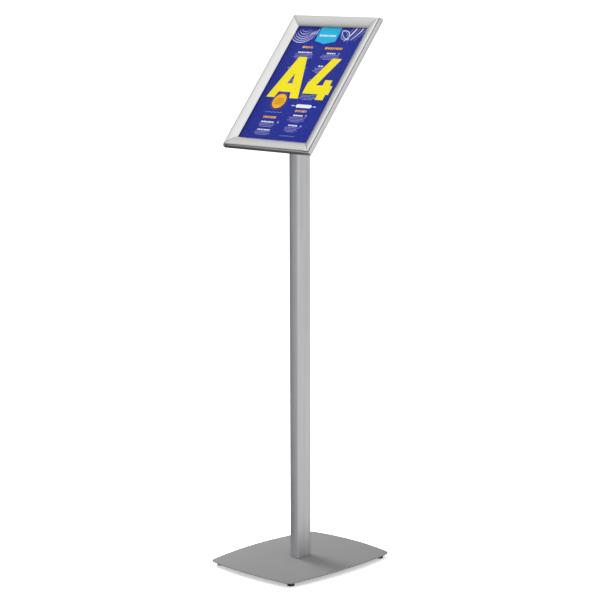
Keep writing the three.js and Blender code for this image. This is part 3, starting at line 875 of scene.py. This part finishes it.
def socket_screw(name, direction, head, rise, shank, pitch, threaded, steps=48):
    """A screw with a knurled round head of radius head and height rise, a hexagon socket in it,
    and a shank that is threaded for a length up to its tail."""
    start, length = axle(name, direction)
    socket = hexagon(head * 0.95, steps)
    knurl = head - 0.12 * MM * (np.arange(steps) % 2)
    rows = [(socket * 0.98, 0.55 * rise), (socket, 0.5 * rise), (socket, 0.05 * rise)]
    rows += [(np.maximum(socket, head * 0.56), 0.0), (head * 0.9, 0.0)]
    rows += [(head * 0.97, 0.03 * rise), (head, 0.12 * rise), (knurl, 0.2 * rise)]
    rows += [(knurl, 0.84 * rise), (head, 0.92 * rise), (head * 0.97, rise), (shank * 1.12, rise)]
    rows += [(shank, rise + 0.35 * MM)]
    rows += thread_rows(length - threaded, length - 0.8 * MM, shank * 0.84, shank, pitch, steps)
    rows += [(shank * 0.84, length - 0.7 * MM), (shank * 0.6, length)]
    return loft(turned(rows, steps, start, direction, spoke_of(direction)))


def countersunk_screw(name, direction, head, cone, shank, pitch, steps=48):
    """A flat head with a hexagon socket, a cone under it down to the given depth, and a
    threaded shank."""
    start, length = axle(name, direction)
    socket = hexagon(head * 0.68, steps)
    rows = [(socket * 0.97, 1.05 * MM), (socket, 0.95 * MM), (socket, 0.06 * MM)]
    rows += [(np.maximum(socket, head * 0.42), 0.0), (head * 0.97, 0.0), (head, 0.12 * MM)]
    rows += [(shank, cone), (shank, cone + 0.6 * MM)]
    rows += thread_rows(cone + 0.7 * MM, length - 0.6 * MM, shank * 0.82, shank, pitch, steps)
    rows += [(shank * 0.82, length - 0.5 * MM), (shank * 0.6, length)]
    return loft(turned(rows, steps, start, direction, spoke_of(direction)))


def hexagon_nut(name, direction, across, bore, pitch, steps=48):
    """A hexagon whose corners are turned off at both faces, round a threaded bore."""
    start, length = axle(name, direction)
    flats = hexagon(across, steps)
    face = across / 2 * 0.96
    chamfer = np.maximum(np.minimum(flats, across / 2 * 1.06), face)
    rows = [(bore * 1.12, 0.0), (face, 0.0), (chamfer, 0.04 * length), (flats, 0.16 * length)]
    rows += [(flats, 0.84 * length), (chamfer, 0.96 * length), (face, length), (bore * 1.12, length)]
    helix = thread_rows(0.1 * length, 0.9 * length, bore * 1.08, bore, pitch, steps)
    rows += helix[::-1]
    return torus(turned(rows, steps, start, direction, spoke_of(direction)))


FASTENERS = {
    "post_screw": (socket_screw, (0, 0, 1), {
        "head": 5.2 * MM, "rise": 3.6 * MM, "shank": 2.5 * MM, "pitch": 0.8 * MM, "threaded": 24 * MM,
    }),
    "cross_bolt": (socket_screw, -ACROSS, {
        "head": 5.4 * MM, "rise": 3.3 * MM, "shank": 3 * MM, "pitch": 1 * MM, "threaded": 12 * MM,
    }),
    "cross_nut": (hexagon_nut, -ACROSS, {"across": 10 * MM, "bore": 3.2 * MM, "pitch": 1 * MM}),
    "panel_screw": (countersunk_screw, -OUT, {
        "head": 3.7 * MM, "cone": 1.7 * MM, "shank": 1.9 * MM, "pitch": 0.7 * MM,
    }),
    "panel_nut": (hexagon_nut, -OUT, {"across": 7 * MM, "bore": 2.1 * MM, "pitch": 0.7 * MM}),
}


class SIGNSTAND_OT_post(bpy.types.Operator):
    """Finish the post, the head bracket and everything that bolts them together"""

    bl_idname = "signstand.post"
    bl_label = "Post and head bracket"

    def execute(self, context):
        dress(finish("post"), "post_profile")
        dress(finish("black"), "head_bracket")
        dress(finish("board"), "back_panel")
        for kind, (maker, direction, sizes) in FASTENERS.items():
            for name in nodes_named(kind):
                points, faces = maker(name, direction, **sizes)
                make_piece(f"{name}_cut", points, faces, STAND, finish("zinc"), [name])
        return {"FINISHED"}


# ------------------------------------------------------------------ snap frame


WEB_ANGLE = 20  # the web joins the curl at this angle above the rail's floor, in degrees
WEB_REACH = 4.2 * MM  # and bends up this far from the curl's centre
CURL_END = 325  # the curl's open end, in degrees
RAIL_FLOOR = 1.2 * MM  # wall of the base rails
KEY_CHANNEL = 6.9 * MM  # rib that the corner keys run along, in from the curl's centre
SHEET_COVER = 10 * MM  # the closed covers overlap the sheet's edge by this
STOP_RIB_SETBACK = 0.7 * MM  # rib that the springs' feet bear on, out from the sheet's edge
SPRING_SHARE = 0.31  # the covers' legs come down over this share of a spring, from its foot
SPRING_ROOM = 1.15 * MM  # and end this far above its centre line


def cover_crown(size):
    """Control points of the crown, from the lip over the sheets to the nose at the outer edge."""
    lip = np.array([(0, 1.1), (-4, 6.9)]) * MM + (size.rail_width, size.lip_height)
    nose = np.array([(1.5, 8.4), (-1.1, 4.95)]) * MM + (CURL_INSET, CURL_HEIGHT)
    return np.vstack([lip, nose])


def cover_section(size):
    """Closed section of a cover, as (s, t), with the runs that are cut away near its ends.
    The crown is a cubic curve; the under side lies one skin below it along its normal; lip and
    nose are half ellipses between the two; the curl is an open ring on a short web; the leg
    stands under the crown."""
    control = cover_crown(size)

    def heading(share):
        return unit(bezier(3 * np.diff(control, axis=0), share))

    def over(share):
        return bezier(control, share)

    def below(share):
        along = heading(share)
        return over(share) + size.cover_skin * np.stack([-along[:, 1], along[:, 0]], axis=-1)

    fine = np.linspace(0, 1, 400)
    under_s = below(fine)[:, 0]

    def share_at(s):
        return float(np.interp(-s, -under_s, fine))

    def run(first, last, steps):
        return below(np.linspace(first, last, steps + 1))

    def cap(share, length, steps):
        top, bottom = over(share)[0], below(share)[0]
        middle, across = (top + bottom) / 2, (top - bottom) / 2
        beyond = np.array([-across[1], across[0]]) / np.linalg.norm(across) * length
        turn = np.linspace(0, np.pi, steps + 1)[1:-1, None]
        if share > 0.5:
            return middle + across * np.cos(turn) + beyond * np.sin(turn)
        return (middle + across * np.cos(turn) - beyond * np.sin(turn))[::-1]

    centre = (CURL_INSET, CURL_HEIGHT)
    elbow = arc(centre, WEB_REACH, WEB_ANGLE, WEB_ANGLE, 0)[0]
    web_side = np.array([0.35, -0.25]) * MM
    leg_s, tip = leg_place(size)
    web_out, web_in = share_at(elbow[0] + 0.1 * MM), share_at(elbow[0] + 1.0 * MM)
    leg_out, leg_in = share_at(leg_s + 0.1 * MM), share_at(leg_s + 1.3 * MM)
    inner = size.curl_radius - size.curl_wall
    middle_radius = (size.curl_radius + inner) / 2
    curl_tip = arc(centre, middle_radius, CURL_END, CURL_END, 0)[0]
    tip_round = arc(curl_tip, size.curl_wall / 2, CURL_END, CURL_END + 180, 6)[1:-1]
    leg = np.array([
        (0, 1.4), (-0.6, 0.9), (-0.58, 0.25), (-0.4, 0), (0.8, 0), (0.98, 0.2), (1.0, 0.6),
    ]) * MM
    pieces = [
        ("skin", over(np.linspace(0, 1, size.crown_steps + 1))),
        ("skin", cap(1.0, size.cover_skin / 2, 8)),
        ("skin", run(1, web_out, 6)),
        ("curl", [elbow - web_side]),
        ("curl", arc(centre, size.curl_radius, 29, CURL_END, 30)),
        ("curl", tip_round),
        ("curl", arc(centre, inner, CURL_END, 11, 22)),
        ("curl", [elbow + web_side]),
        ("skin", run(web_in, leg_out, 6)),
        ("leg", leg + (leg_s, tip)),
        ("skin", run(leg_in, 0, 16)),
        ("skin", cap(0.0, 0.75 * MM, 8)),
    ]
    points = np.vstack([p for _, p in pieces])
    kinds = np.concatenate([[kind] * len(p) for kind, p in pieces])
    return points, kinds


def spring_control(size):
    """Control points of a leaf spring's centre line: foot at the rail's rib, crest, tip at the
    curl's web."""
    sheet_edge = size.rail_width - SHEET_COVER
    return [
        (sheet_edge - 1.2 * MM, 1.9 * MM),
        (CURL_INSET + 7.5 * MM, 6.6 * MM),
        (CURL_INSET + 4.6 * MM, CURL_HEIGHT + 0.1 * MM),
    ]


def leg_place(size):
    """Where a cover's leg ends: over a point of the spring, clear of it."""
    s, t = bezier(spring_control(size), SPRING_SHARE)[0]
    return s, t + SPRING_ROOM


def across_lengths(section):
    """Length along the closed section up to each of its points."""
    steps = np.linalg.norm(np.diff(section, axis=0), axis=1)
    return np.concatenate([[0.0], np.cumsum(steps)])


def mitre_rings(section, length, gap, ease):
    """Rings that round a sawn 45 degree end: the section shrinks by ease (1 - cos a) while the
    end moves out by ease sin a. Returns ((section, along) per ring), from the flank outwards."""
    rings = []
    for turn in np.radians((0, 35, 65, 90)):
        shrunk = inset(section, ease * (1 - math.cos(turn)))
        along = length / 2 - shrunk[:, 0] - gap - ease * (1 - math.sin(turn))
        rings.append((shrunk, along))
    return rings


def cover_shape(side, size):
    """The whole section runs over the middle; past the cut-backs only the skin's points go on
    to the mitres, and where the mitre comes before the cut-back, the middle ends just short of
    it. The curl's and leg's cut ends are flat faces."""
    section, kinds = cover_section(size)
    skin = np.flatnonzero(kinds == "skin")
    length = side_length(side)
    mitre = length / 2 - section[:, 0] - size.mitre_gap - size.mitre_ease
    middle = np.minimum(length / 2 - size.curl_cutback, mitre - 0.5 * MM)
    count = len(section)
    rows, travel = [section, section], [-middle, middle]
    ends = mitre_rings(section[skin], length, size.mitre_gap, size.mitre_ease)
    for sign in (-1, 1):
        for shrunk, along in ends:
            rows.append(shrunk)
            travel.append(sign * along)
    flat, along = np.vstack(rows), np.concatenate(travel)
    index = np.arange(count)
    faces = ring_faces(np.stack([index, index + count]))
    start = 2 * count
    for sign in (-1, 1):
        near = skin + (count if sign > 0 else 0)
        rings = [near]
        for _ in ends:
            rings.append(np.arange(len(skin)) + start)
            start += len(skin)
        if sign > 0:
            faces += ring_faces(np.stack(rings))
            faces.append(rings[-1].tolist())
        else:
            faces += ring_faces(np.stack(rings[::-1]))
            faces.append(rings[-1][::-1].tolist())
        for kind in ("curl", "leg"):
            inside = np.flatnonzero(kinds == kind)
            cut = np.arange(inside[0] - 1, inside[-1] + 2) + (count if sign > 0 else 0)
            faces.append(cut.tolist() if sign > 0 else cut[::-1].tolist())
    across = across_lengths(section)
    v = np.concatenate([across, across] + [across[skin]] * (2 * len(ends)))
    return rail_points(side, along, flat[:, 0], flat[:, 1]), faces, np.stack([along, v], axis=-1)


def base_rail_section(size):
    """Closed section of a base rail: floor, outer wall running up into the hinge groove's ring,
    an undercut rib for the corner keys and a rib for the springs' feet."""
    groove = size.curl_radius + size.groove_clearance
    socket = groove + size.curl_wall
    centre = (CURL_INSET, CURL_HEIGHT)
    wall = 180 + math.degrees(math.acos((CURL_INSET - RAIL_FLOOR) / socket))
    inner_edge = size.rail_width - 0.5 * MM
    shelf = np.array([(-0.2, 0), (-0.05, 0.06), (0, 0.2), (0, 1.0), (-0.06, 1.15), (-0.2, 1.2)]) * MM
    stop_rib = size.rail_width - SHEET_COVER - STOP_RIB_SETBACK
    stop = np.array([(1.0, 1.2), (1.0, 2.8), (0.9, 2.9), (0.1, 2.9), (0, 2.8), (0, 1.2)]) * MM
    key_rib = CURL_INSET + KEY_CHANNEL
    guard = np.array([
        (0.8, 1.2), (0.8, 3.6), (0.6, 3.8), (-1.7, 3.8), (-1.8, 3.7), (-1.8, 3.1), (-1.7, 3.0),
        (0, 3.0), (0, 1.2),
    ]) * MM
    heel = np.array([(0, 0.55), (0.04, 0.34), (0.16, 0.16), (0.34, 0.04)]) * MM
    return np.vstack([
        [(heel[0][1], 0)],
        shelf + (inner_edge, 0),
        stop + (stop_rib, 0),
        guard + (key_rib, 0),
        [(RAIL_FLOOR, RAIL_FLOOR)],
        arc(centre, socket, wall, 360 + 7, 20),
        arc(centre, groove, 360 + 7, 123, 40),
        arc(centre, socket, 123, 180, 12),
        heel,
    ])


def mitred_shape(side, section, size):
    """A section carried straight along one side, with a rounded mitre at both ends."""
    ends = mitre_rings(section, side_length(side), size.mitre_gap, size.mitre_ease)
    rows = [(shrunk, -along) for shrunk, along in ends[::-1]] + ends
    rings = np.stack([rail_points(side, along, flat[:, 0], flat[:, 1]) for flat, along in rows])
    points, faces = loft(rings)
    across = across_lengths(section)
    uv = np.stack([np.concatenate([a for _, a in rows]), np.tile(across, len(rows))], axis=-1)
    return points, faces, uv


class SIGNSTAND_OT_rails(bpy.types.Operator):
    """Make the four base rails and finish the springs and corner keys inside them"""

    bl_idname = "signstand.rails"
    bl_label = "Base rails, springs and keys"

    def execute(self, context):
        size = context.scene.sign_stand_frame
        section = base_rail_section(size)
        for side in SIDES:
            points, faces, uv = mitred_shape(side, section, size)
            make_piece(
                f"rail_{side}", points, faces, STAND, finish("rail"),
                [f"base_rail_{side}"], uv=uv,
            )
        dress(finish("spring"), *nodes_named("leaf_spring"))
        dress(finish("zinc"), *nodes_named("corner_key"))
        return {"FINISHED"}


class SIGNSTAND_OT_covers(bpy.types.Operator):
    """Make the four hinged snap covers"""

    bl_idname = "signstand.covers"
    bl_label = "Snap covers"

    def execute(self, context):
        size = context.scene.sign_stand_frame
        for side in SIDES:
            points, faces, uv = cover_shape(side, size)
            make_piece(
                f"cover_{side}_crowned", points, faces, f"cover_{side}", finish("cover"),
                [f"snap_cover_{side}"], uv=uv,
            )
        return {"FINISHED"}


# ------------------------------------------------------------------ poster


def prism(outline, low, high, holes=()):
    """A flat outline in millimetres, with holes, made a thin closed slab of the poster's plane."""
    loops = [np.asarray(loop, float) for loop in (outline, *holes)]
    flat = np.vstack(loops)
    count = len(flat)
    lower = panel_points(flat[:, 0] * MM, flat[:, 1] * MM, low)
    upper = panel_points(flat[:, 0] * MM, flat[:, 1] * MM, high)
    if holes:
        tops = tessellate_polygon([[Vector((x, y, 0)) for x, y in loop] for loop in loops])
        tops = [tri if turn_of(flat[list(tri)]) > 0 else tri[::-1] for tri in tops]
    else:
        tops = [tuple(range(count)) if turn_of(flat) > 0 else tuple(range(count))[::-1]]
    faces = [[i + count for i in face] for face in tops] + [list(face)[::-1] for face in tops]
    start = 0
    for k, loop in enumerate(loops):
        ring = start + np.arange(len(loop))
        start += len(loop)
        outward = (turn_of(loop) > 0) == (k == 0)
        ring = ring if outward else ring[::-1]
        beside = np.roll(ring, -1)
        faces += np.stack([ring, beside, beside + count, ring + count], axis=-1).tolist()
    return np.vstack([lower, upper]), faces


def turn_of(loop):
    """Twice the signed area of a closed flat loop."""
    x, y = np.asarray(loop, float)[:, 0], np.asarray(loop, float)[:, 1]
    return float(np.sum(x * np.roll(y, -1) - np.roll(x, -1) * y))


def bar(left, right, middle, height):
    """Outline of a flat bar."""
    low, high = middle - height / 2, middle + height / 2
    return [(left, low), (right, low), (right, high), (left, high)]


def ribbon(path, width):
    """Outline of a line of the given width: the path moved half a width to each side."""
    path = np.asarray(path, float)
    along = unit(np.gradient(path, axis=0))
    side = np.stack([-along[:, 1], along[:, 0]], axis=-1) * np.asarray(width)[..., None] / 2
    return np.vstack([path + side, (path - side)[::-1]])


def words(left, right, middle, height, chance):
    """A line of text stood in for by short bars with gaps between them."""
    bars, x = [], left
    while x < right - 1:
        end = min(x + chance.uniform(2.0, 6.5), right)
        bars.append(bar(x, end, middle, height))
        x = end + 0.35 * height + 0.4
    return bars


def paragraph(centre, top, widths, height, pitch, chance):
    """Lines of words under one another, each centred."""
    lines = []
    for k, width in enumerate(widths):
        lines += words(centre - width / 2, centre + width / 2, top - k * pitch, height, chance)
    return lines


def poster_art():
    """Outlines of the print, in millimetres from the sheet's middle, by ink and layer."""
    chance = np.random.default_rng(11)
    letter_a = [(-80, -37), (-57.5, -37), (-53, -22.5), (-20, -22.5), (-15, -37), (8.7, -37)]
    letter_a += [(-26.2, 63.7), (-48.7, 63.7)]
    counter = [(-42.5, -1.5), (-28, -1.5), (-35.2, 22.5)]
    figure_4 = [(12.5, -23.7), (55, -23.7), (55, -37), (76, -37), (76, -23.7), (83, -23.7)]
    figure_4 += [(83, -2.5), (75, -2.5), (75, 11), (55.5, 11), (55.5, -2.5), (38, -2.5)]
    figure_4 += [(69.5, 63), (45, 63), (12.5, 0)]
    pennant = [(-30, 148), (-30, 104.5), (-1.5, 97.5), (26, 104.5), (26, 148)]
    disc = arc((-37.5, -45.5), 17.5, 0, 352.5, 47)
    titles = []
    for left, right, middle in (
        (-59, -20, 75), (21, 44, 75), (17, 30, 43), (21, 47, -76.7), (-56, -20, -96.5), (22, 47, -100.7),
        (-55, -20, -115.5),
    ):
        titles += words(left, right, middle, 3.2, chance)
    banner = words(-24, 20, 118, 4.2, chance)
    badge = [(13, -54), (17, -50), (54, -50), (58, -54), (54, -58), (17, -58)]
    titles += [badge, bar(2.5, 10.5, -54, 1.6), bar(60.5, 68.5, -54, 1.6)]
    headings = []
    for left, right, middle in ((-54, -24, 88), (9, 56, 87.5), (20, 50, -66), (-57, -20, -85)):
        headings += words(left, right, middle, 5, chance)
    stamp = paragraph(-37.5, -40, (16, 24, 26, 18), 2.2, 4.2, chance)
    text = []
    for centre, top, widths in [
        (-39.5, 70.5, (50, 46, 52, 40)), (33, 70.5, (44, 50, 46, 30)), (26, 38, (34, 30, 36, 20)),
        (-39, 40, (40, 52, 46)), (33, -27.5, (44, 40, 46, 30)), (34, -81.5, (44, 38, 46, 26)),
        (-38, -101, (44, 38, 34)), (34, -105.5, (40, 32, 36, 22)), (-38, -120, (40, 42, 34)),
        (-37.5, 8, (40, 34, 44, 30)), (27, 10, (30, 26, 34)),
    ]:
        text += paragraph(centre, top, widths, 1.1, 3.4, chance)
    sweep = np.linspace(0, 1, 40)
    for y, left, right in ((-72.5, -61, -14), (-126, 12, 54)):
        wave = np.stack([left + (right - left) * sweep, y + 1.2 * np.sin(9 * np.pi * sweep)], axis=-1)
        text.append(ribbon(wave, 0.7))
    for x, y in ((54, 75), (55, -76), (56, -101), (-10, -96)):
        text.append([(x + r * c, y + r * s) for r, (c, s) in zip((4, 1.4) * 4, arc((0, 0), 1, 0, 315, 7))])
    art = line_art()  # its strokes take the lighter and the darker ink in turn
    edge = ribbon(arc((-37.5, -45.5), 20.6, 0, 357, 60), 0.5)
    return {
        "text": (text + art[1::2], 0),
        "title": (titles + art[::2], 1),
        "pennant": ([pennant], 1),
        "mark": ([letter_a, figure_4], 2),
        "accent": ([disc, *headings], 3),
        "overprint": (banner, 2),
        "stamp": (stamp + [edge], 4),
    }, counter


def line_art():
    """Plain strokes in the poster's two top corners: ripples and short rain on the left, slanted
    streaks and a leaf on the right."""
    strokes = []
    for radius, width in ((40, 1.6), (35, 3.0), (30, 1.4), (25, 2.6), (19, 1.2), (13, 2.0)):
        taper = np.sin(np.linspace(0.15, np.pi - 0.15, 31)) * width
        strokes.append(ribbon(arc((-70, 139), radius, 205, 338, 30), taper))
    for k in range(5):
        top = np.array([-33.5 - 3.6 * k, 134 - 2.2 * k])
        path = top + np.linspace(0, 1, 8)[:, None] * np.array([-2.5, -13 + 1.5 * k])
        strokes.append(ribbon(path, np.linspace(0.5, 1.0, 8) * 1.7))
    for k, (x, width) in enumerate(((58, 1.4), (67, 4.0), (75, 1.6), (84, 3.4), (92, 1.6))):
        path = np.array([x, 139]) + np.linspace(0, 1, 14)[:, None] * np.array([-19, -30 - 3 * (k % 3)])
        path[:, 0] += 1.8 * np.sin(np.linspace(0, np.pi, 14))
        strokes.append(ribbon(path, np.linspace(1, 0.3, 14) * width))
    for lift, width in ((9.5, 1.6), (5.0, 1.0), (-5.0, 1.0), (-9.5, 1.6)):
        along = np.linspace(0, 1, 24)
        leaf = np.stack([31 + 26 * along, 132 - 22 * along], axis=-1)
        leaf += np.sin(np.pi * along)[:, None] * np.array([0.65, 0.76]) * lift
        strokes.append(ribbon(leaf, width))
    return strokes


class SIGNSTAND_OT_poster(bpy.types.Operator):
    """Finish the sheets and lay the print on the poster"""

    bl_idname = "signstand.poster"
    bl_label = "Poster"

    def execute(self, context):
        dress(finish("field"), "insert_sheet")
        dress(finish("film"), "window_sheet")
        inks, counter = poster_art()
        for name, (outlines, layer) in inks.items():
            low = INSERT_TOP + (0.012 + 0.045 * layer) * MM
            shapes = []
            for k, outline in enumerate(outlines):
                holes = [counter] if name == "mark" and k == 0 else []
                shapes.append(prism(outline, low, low + 0.03 * MM, holes))
            points, faces = merged(shapes)
            make_piece(f"print_{name}", points, faces, STAND, finish(name))
        return {"FINISHED"}


# ------------------------------------------------------------------ stage


def studio_floor():
    """A flat floor, far larger than the view."""
    half = 40.0
    corner = np.array([(-half, -half, 0), (half, -half, 0), (half, half, 0), (-half, half, 0)])
    mesh = bpy.data.meshes.new("studio_floor")
    mesh.from_pydata(corner.tolist(), [], [(0, 1, 2, 3)])
    made = Finish("studio_floor", 0.0, 0.9)
    peel = made.add("orange_peel", Vector=made.object, Scale=60.0)
    made.tone(peel["Tone"], (0.93, 0.93, 0.93), 0.01)
    made.shader.inputs["Emission Color"].default_value = (1, 1, 1, 1)
    path = made.tree.nodes.new("ShaderNodeLightPath")
    lift = arithmetic(made.tree, "MULTIPLY", path.outputs["Is Camera Ray"], 0.4)
    made.feed("Emission Strength", lift)
    mesh.materials.append(made.material)
    floor = bpy.data.objects.new("studio_floor", mesh)
    bpy.context.scene.collection.objects.link(floor)
    floor.visible_glossy = False


def studio_room(room):
    """World light: white to the camera and even for diffuse light. Gloss sees a dome that is
    brightest above the front, dims away from there and is darker still on the far side below,
    and a bright panel on the right."""
    world = bpy.data.worlds.new("studio_room")
    bpy.context.scene.world = world
    world.use_nodes = True
    tree = world.node_tree
    back = tree.nodes["Background"]
    place = tree.nodes.new("ShaderNodeTexCoord")
    direction = place.outputs["Generated"]
    split = tree.nodes.new("ShaderNodeSeparateXYZ")
    tree.links.new(direction, split.inputs[0])
    facing = tree.nodes.new("ShaderNodeVectorMath")
    facing.operation = "DOT_PRODUCT"
    tree.links.new(direction, facing.inputs[0])
    facing.inputs[1].default_value = (0.25, -0.35, 0.90)
    toward = facing.outputs["Value"]
    sky = remap(tree, toward, -0.15, 0.8, 0.27, 1.06)
    far_side = remap(tree, toward, -0.5, -0.15, 0.3, 1.0)
    dome = arithmetic(tree, "MULTIPLY", sky, far_side)
    right_panel = remap(tree, split.outputs["X"], -0.35, 0.5, 0.0, 0.92)
    gloss = arithmetic(tree, "MAXIMUM", dome, right_panel)
    path = tree.nodes.new("ShaderNodeLightPath")
    mood = tree.nodes.new("ShaderNodeMix")
    tree.links.new(path.outputs["Is Glossy Ray"], mood.inputs["Factor"])
    mood.inputs["A"].default_value = room
    tree.links.new(gloss, mood.inputs["B"])
    seen = tree.nodes.new("ShaderNodeMix")
    tree.links.new(path.outputs["Is Camera Ray"], seen.inputs["Factor"])
    tree.links.new(mood.outputs["Result"], seen.inputs["A"])
    seen.inputs["B"].default_value = 1.0
    tree.links.new(seen.outputs["Result"], back.inputs["Strength"])
    back.inputs["Color"].default_value = (1, 1, 1, 1)


def area_light(name, place, aim, size, power):
    """A soft square light that looks at a point."""
    data = bpy.data.lights.new(name, "AREA")
    data.shape = "SQUARE"
    data.size = size
    data.energy = power
    lamp = bpy.data.objects.new(name, data)
    bpy.context.scene.collection.objects.link(lamp)
    lamp.visible_glossy = False
    away = Vector(place) - Vector(aim)
    lamp.matrix_world = Matrix.Translation(place) @ away.to_track_quat("Z", "Y").to_matrix().to_4x4()


def studio_camera(stage):
    """A camera on a sphere about the aim point, upright but for its small roll."""
    data = bpy.data.cameras.new("studio_camera")
    data.sensor_width = 36
    data.lens = stage.lens
    data.clip_end = 200
    camera = bpy.data.objects.new("studio_camera", data)
    bpy.context.scene.collection.objects.link(camera)
    flat = math.cos(stage.elevation)
    back = Vector((
        flat * math.sin(stage.azimuth), -flat * math.cos(stage.azimuth), math.sin(stage.elevation),
    ))
    aim = Vector((0, 0, stage.aim_height))
    turn = back.to_track_quat("Z", "Y").to_matrix().to_4x4()
    place = Matrix.Translation(aim + back * stage.distance)
    camera.matrix_world = place @ turn @ Matrix.Rotation(stage.roll, 4, "Z")
    bpy.context.scene.camera = camera


class SIGNSTAND_OT_stage(bpy.types.Operator):
    """Set up the floor, the lights and the camera"""

    bl_idname = "signstand.stage"
    bl_label = "Studio"

    def execute(self, context):
        stage = context.scene.sign_stand_stage
        studio_floor()
        studio_room(stage.room)
        area_light("key_light", (-2.3, 0.38, 2.3), (0, 0, 0.3), 0.7, stage.key_power)
        area_light("low_light", (-0.62, -0.02, 0.42), (-0.05, 0, 0), 0.16, stage.low_power)
        studio_camera(stage)
        context.scene.view_settings.view_transform = "Standard"
        return {"FINISHED"}


# ------------------------------------------------------------------ add-on


STEPS = (
    SIGNSTAND_OT_foot,
    SIGNSTAND_OT_post,
    SIGNSTAND_OT_rails,
    SIGNSTAND_OT_covers,
    SIGNSTAND_OT_poster,
    SIGNSTAND_OT_stage,
)


class SIGNSTAND_PT_panel(bpy.types.Panel):
    """Lists the stand's sizes, colours and steps"""

    bl_idname = "SIGNSTAND_PT_panel"
    bl_label = "Sign Stand"
    bl_space_type = "VIEW_3D"
    bl_region_type = "UI"
    bl_category = "Sign Stand"

    def draw(self, context):
        layout = self.layout
        for attribute, group in GROUPS.items():
            box = layout.box()
            box.label(text=group.__doc__)
            for label in group.__annotations__:
                box.prop(getattr(context.scene, attribute), label)
        for step in STEPS:
            layout.operator(step.bl_idname)


def register():
    for group in GROUPS.values():
        bpy.utils.register_class(group)
    for step in (*STEPS, SIGNSTAND_PT_panel):
        bpy.utils.register_class(step)
    for attribute, group in GROUPS.items():
        setattr(bpy.types.Scene, attribute, PointerProperty(type=group))


def unregister():
    for attribute in GROUPS:
        delattr(bpy.types.Scene, attribute)
    for step in (SIGNSTAND_PT_panel, *reversed(STEPS)):
        bpy.utils.unregister_class(step)
    for group in reversed(GROUPS.values()):
        bpy.utils.unregister_class(group)


def main():
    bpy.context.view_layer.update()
    register()
    for step in STEPS:
        area, operator = step.bl_idname.split(".")
        getattr(getattr(bpy.ops, area), operator)()


if __name__ == "__main__":
    main()
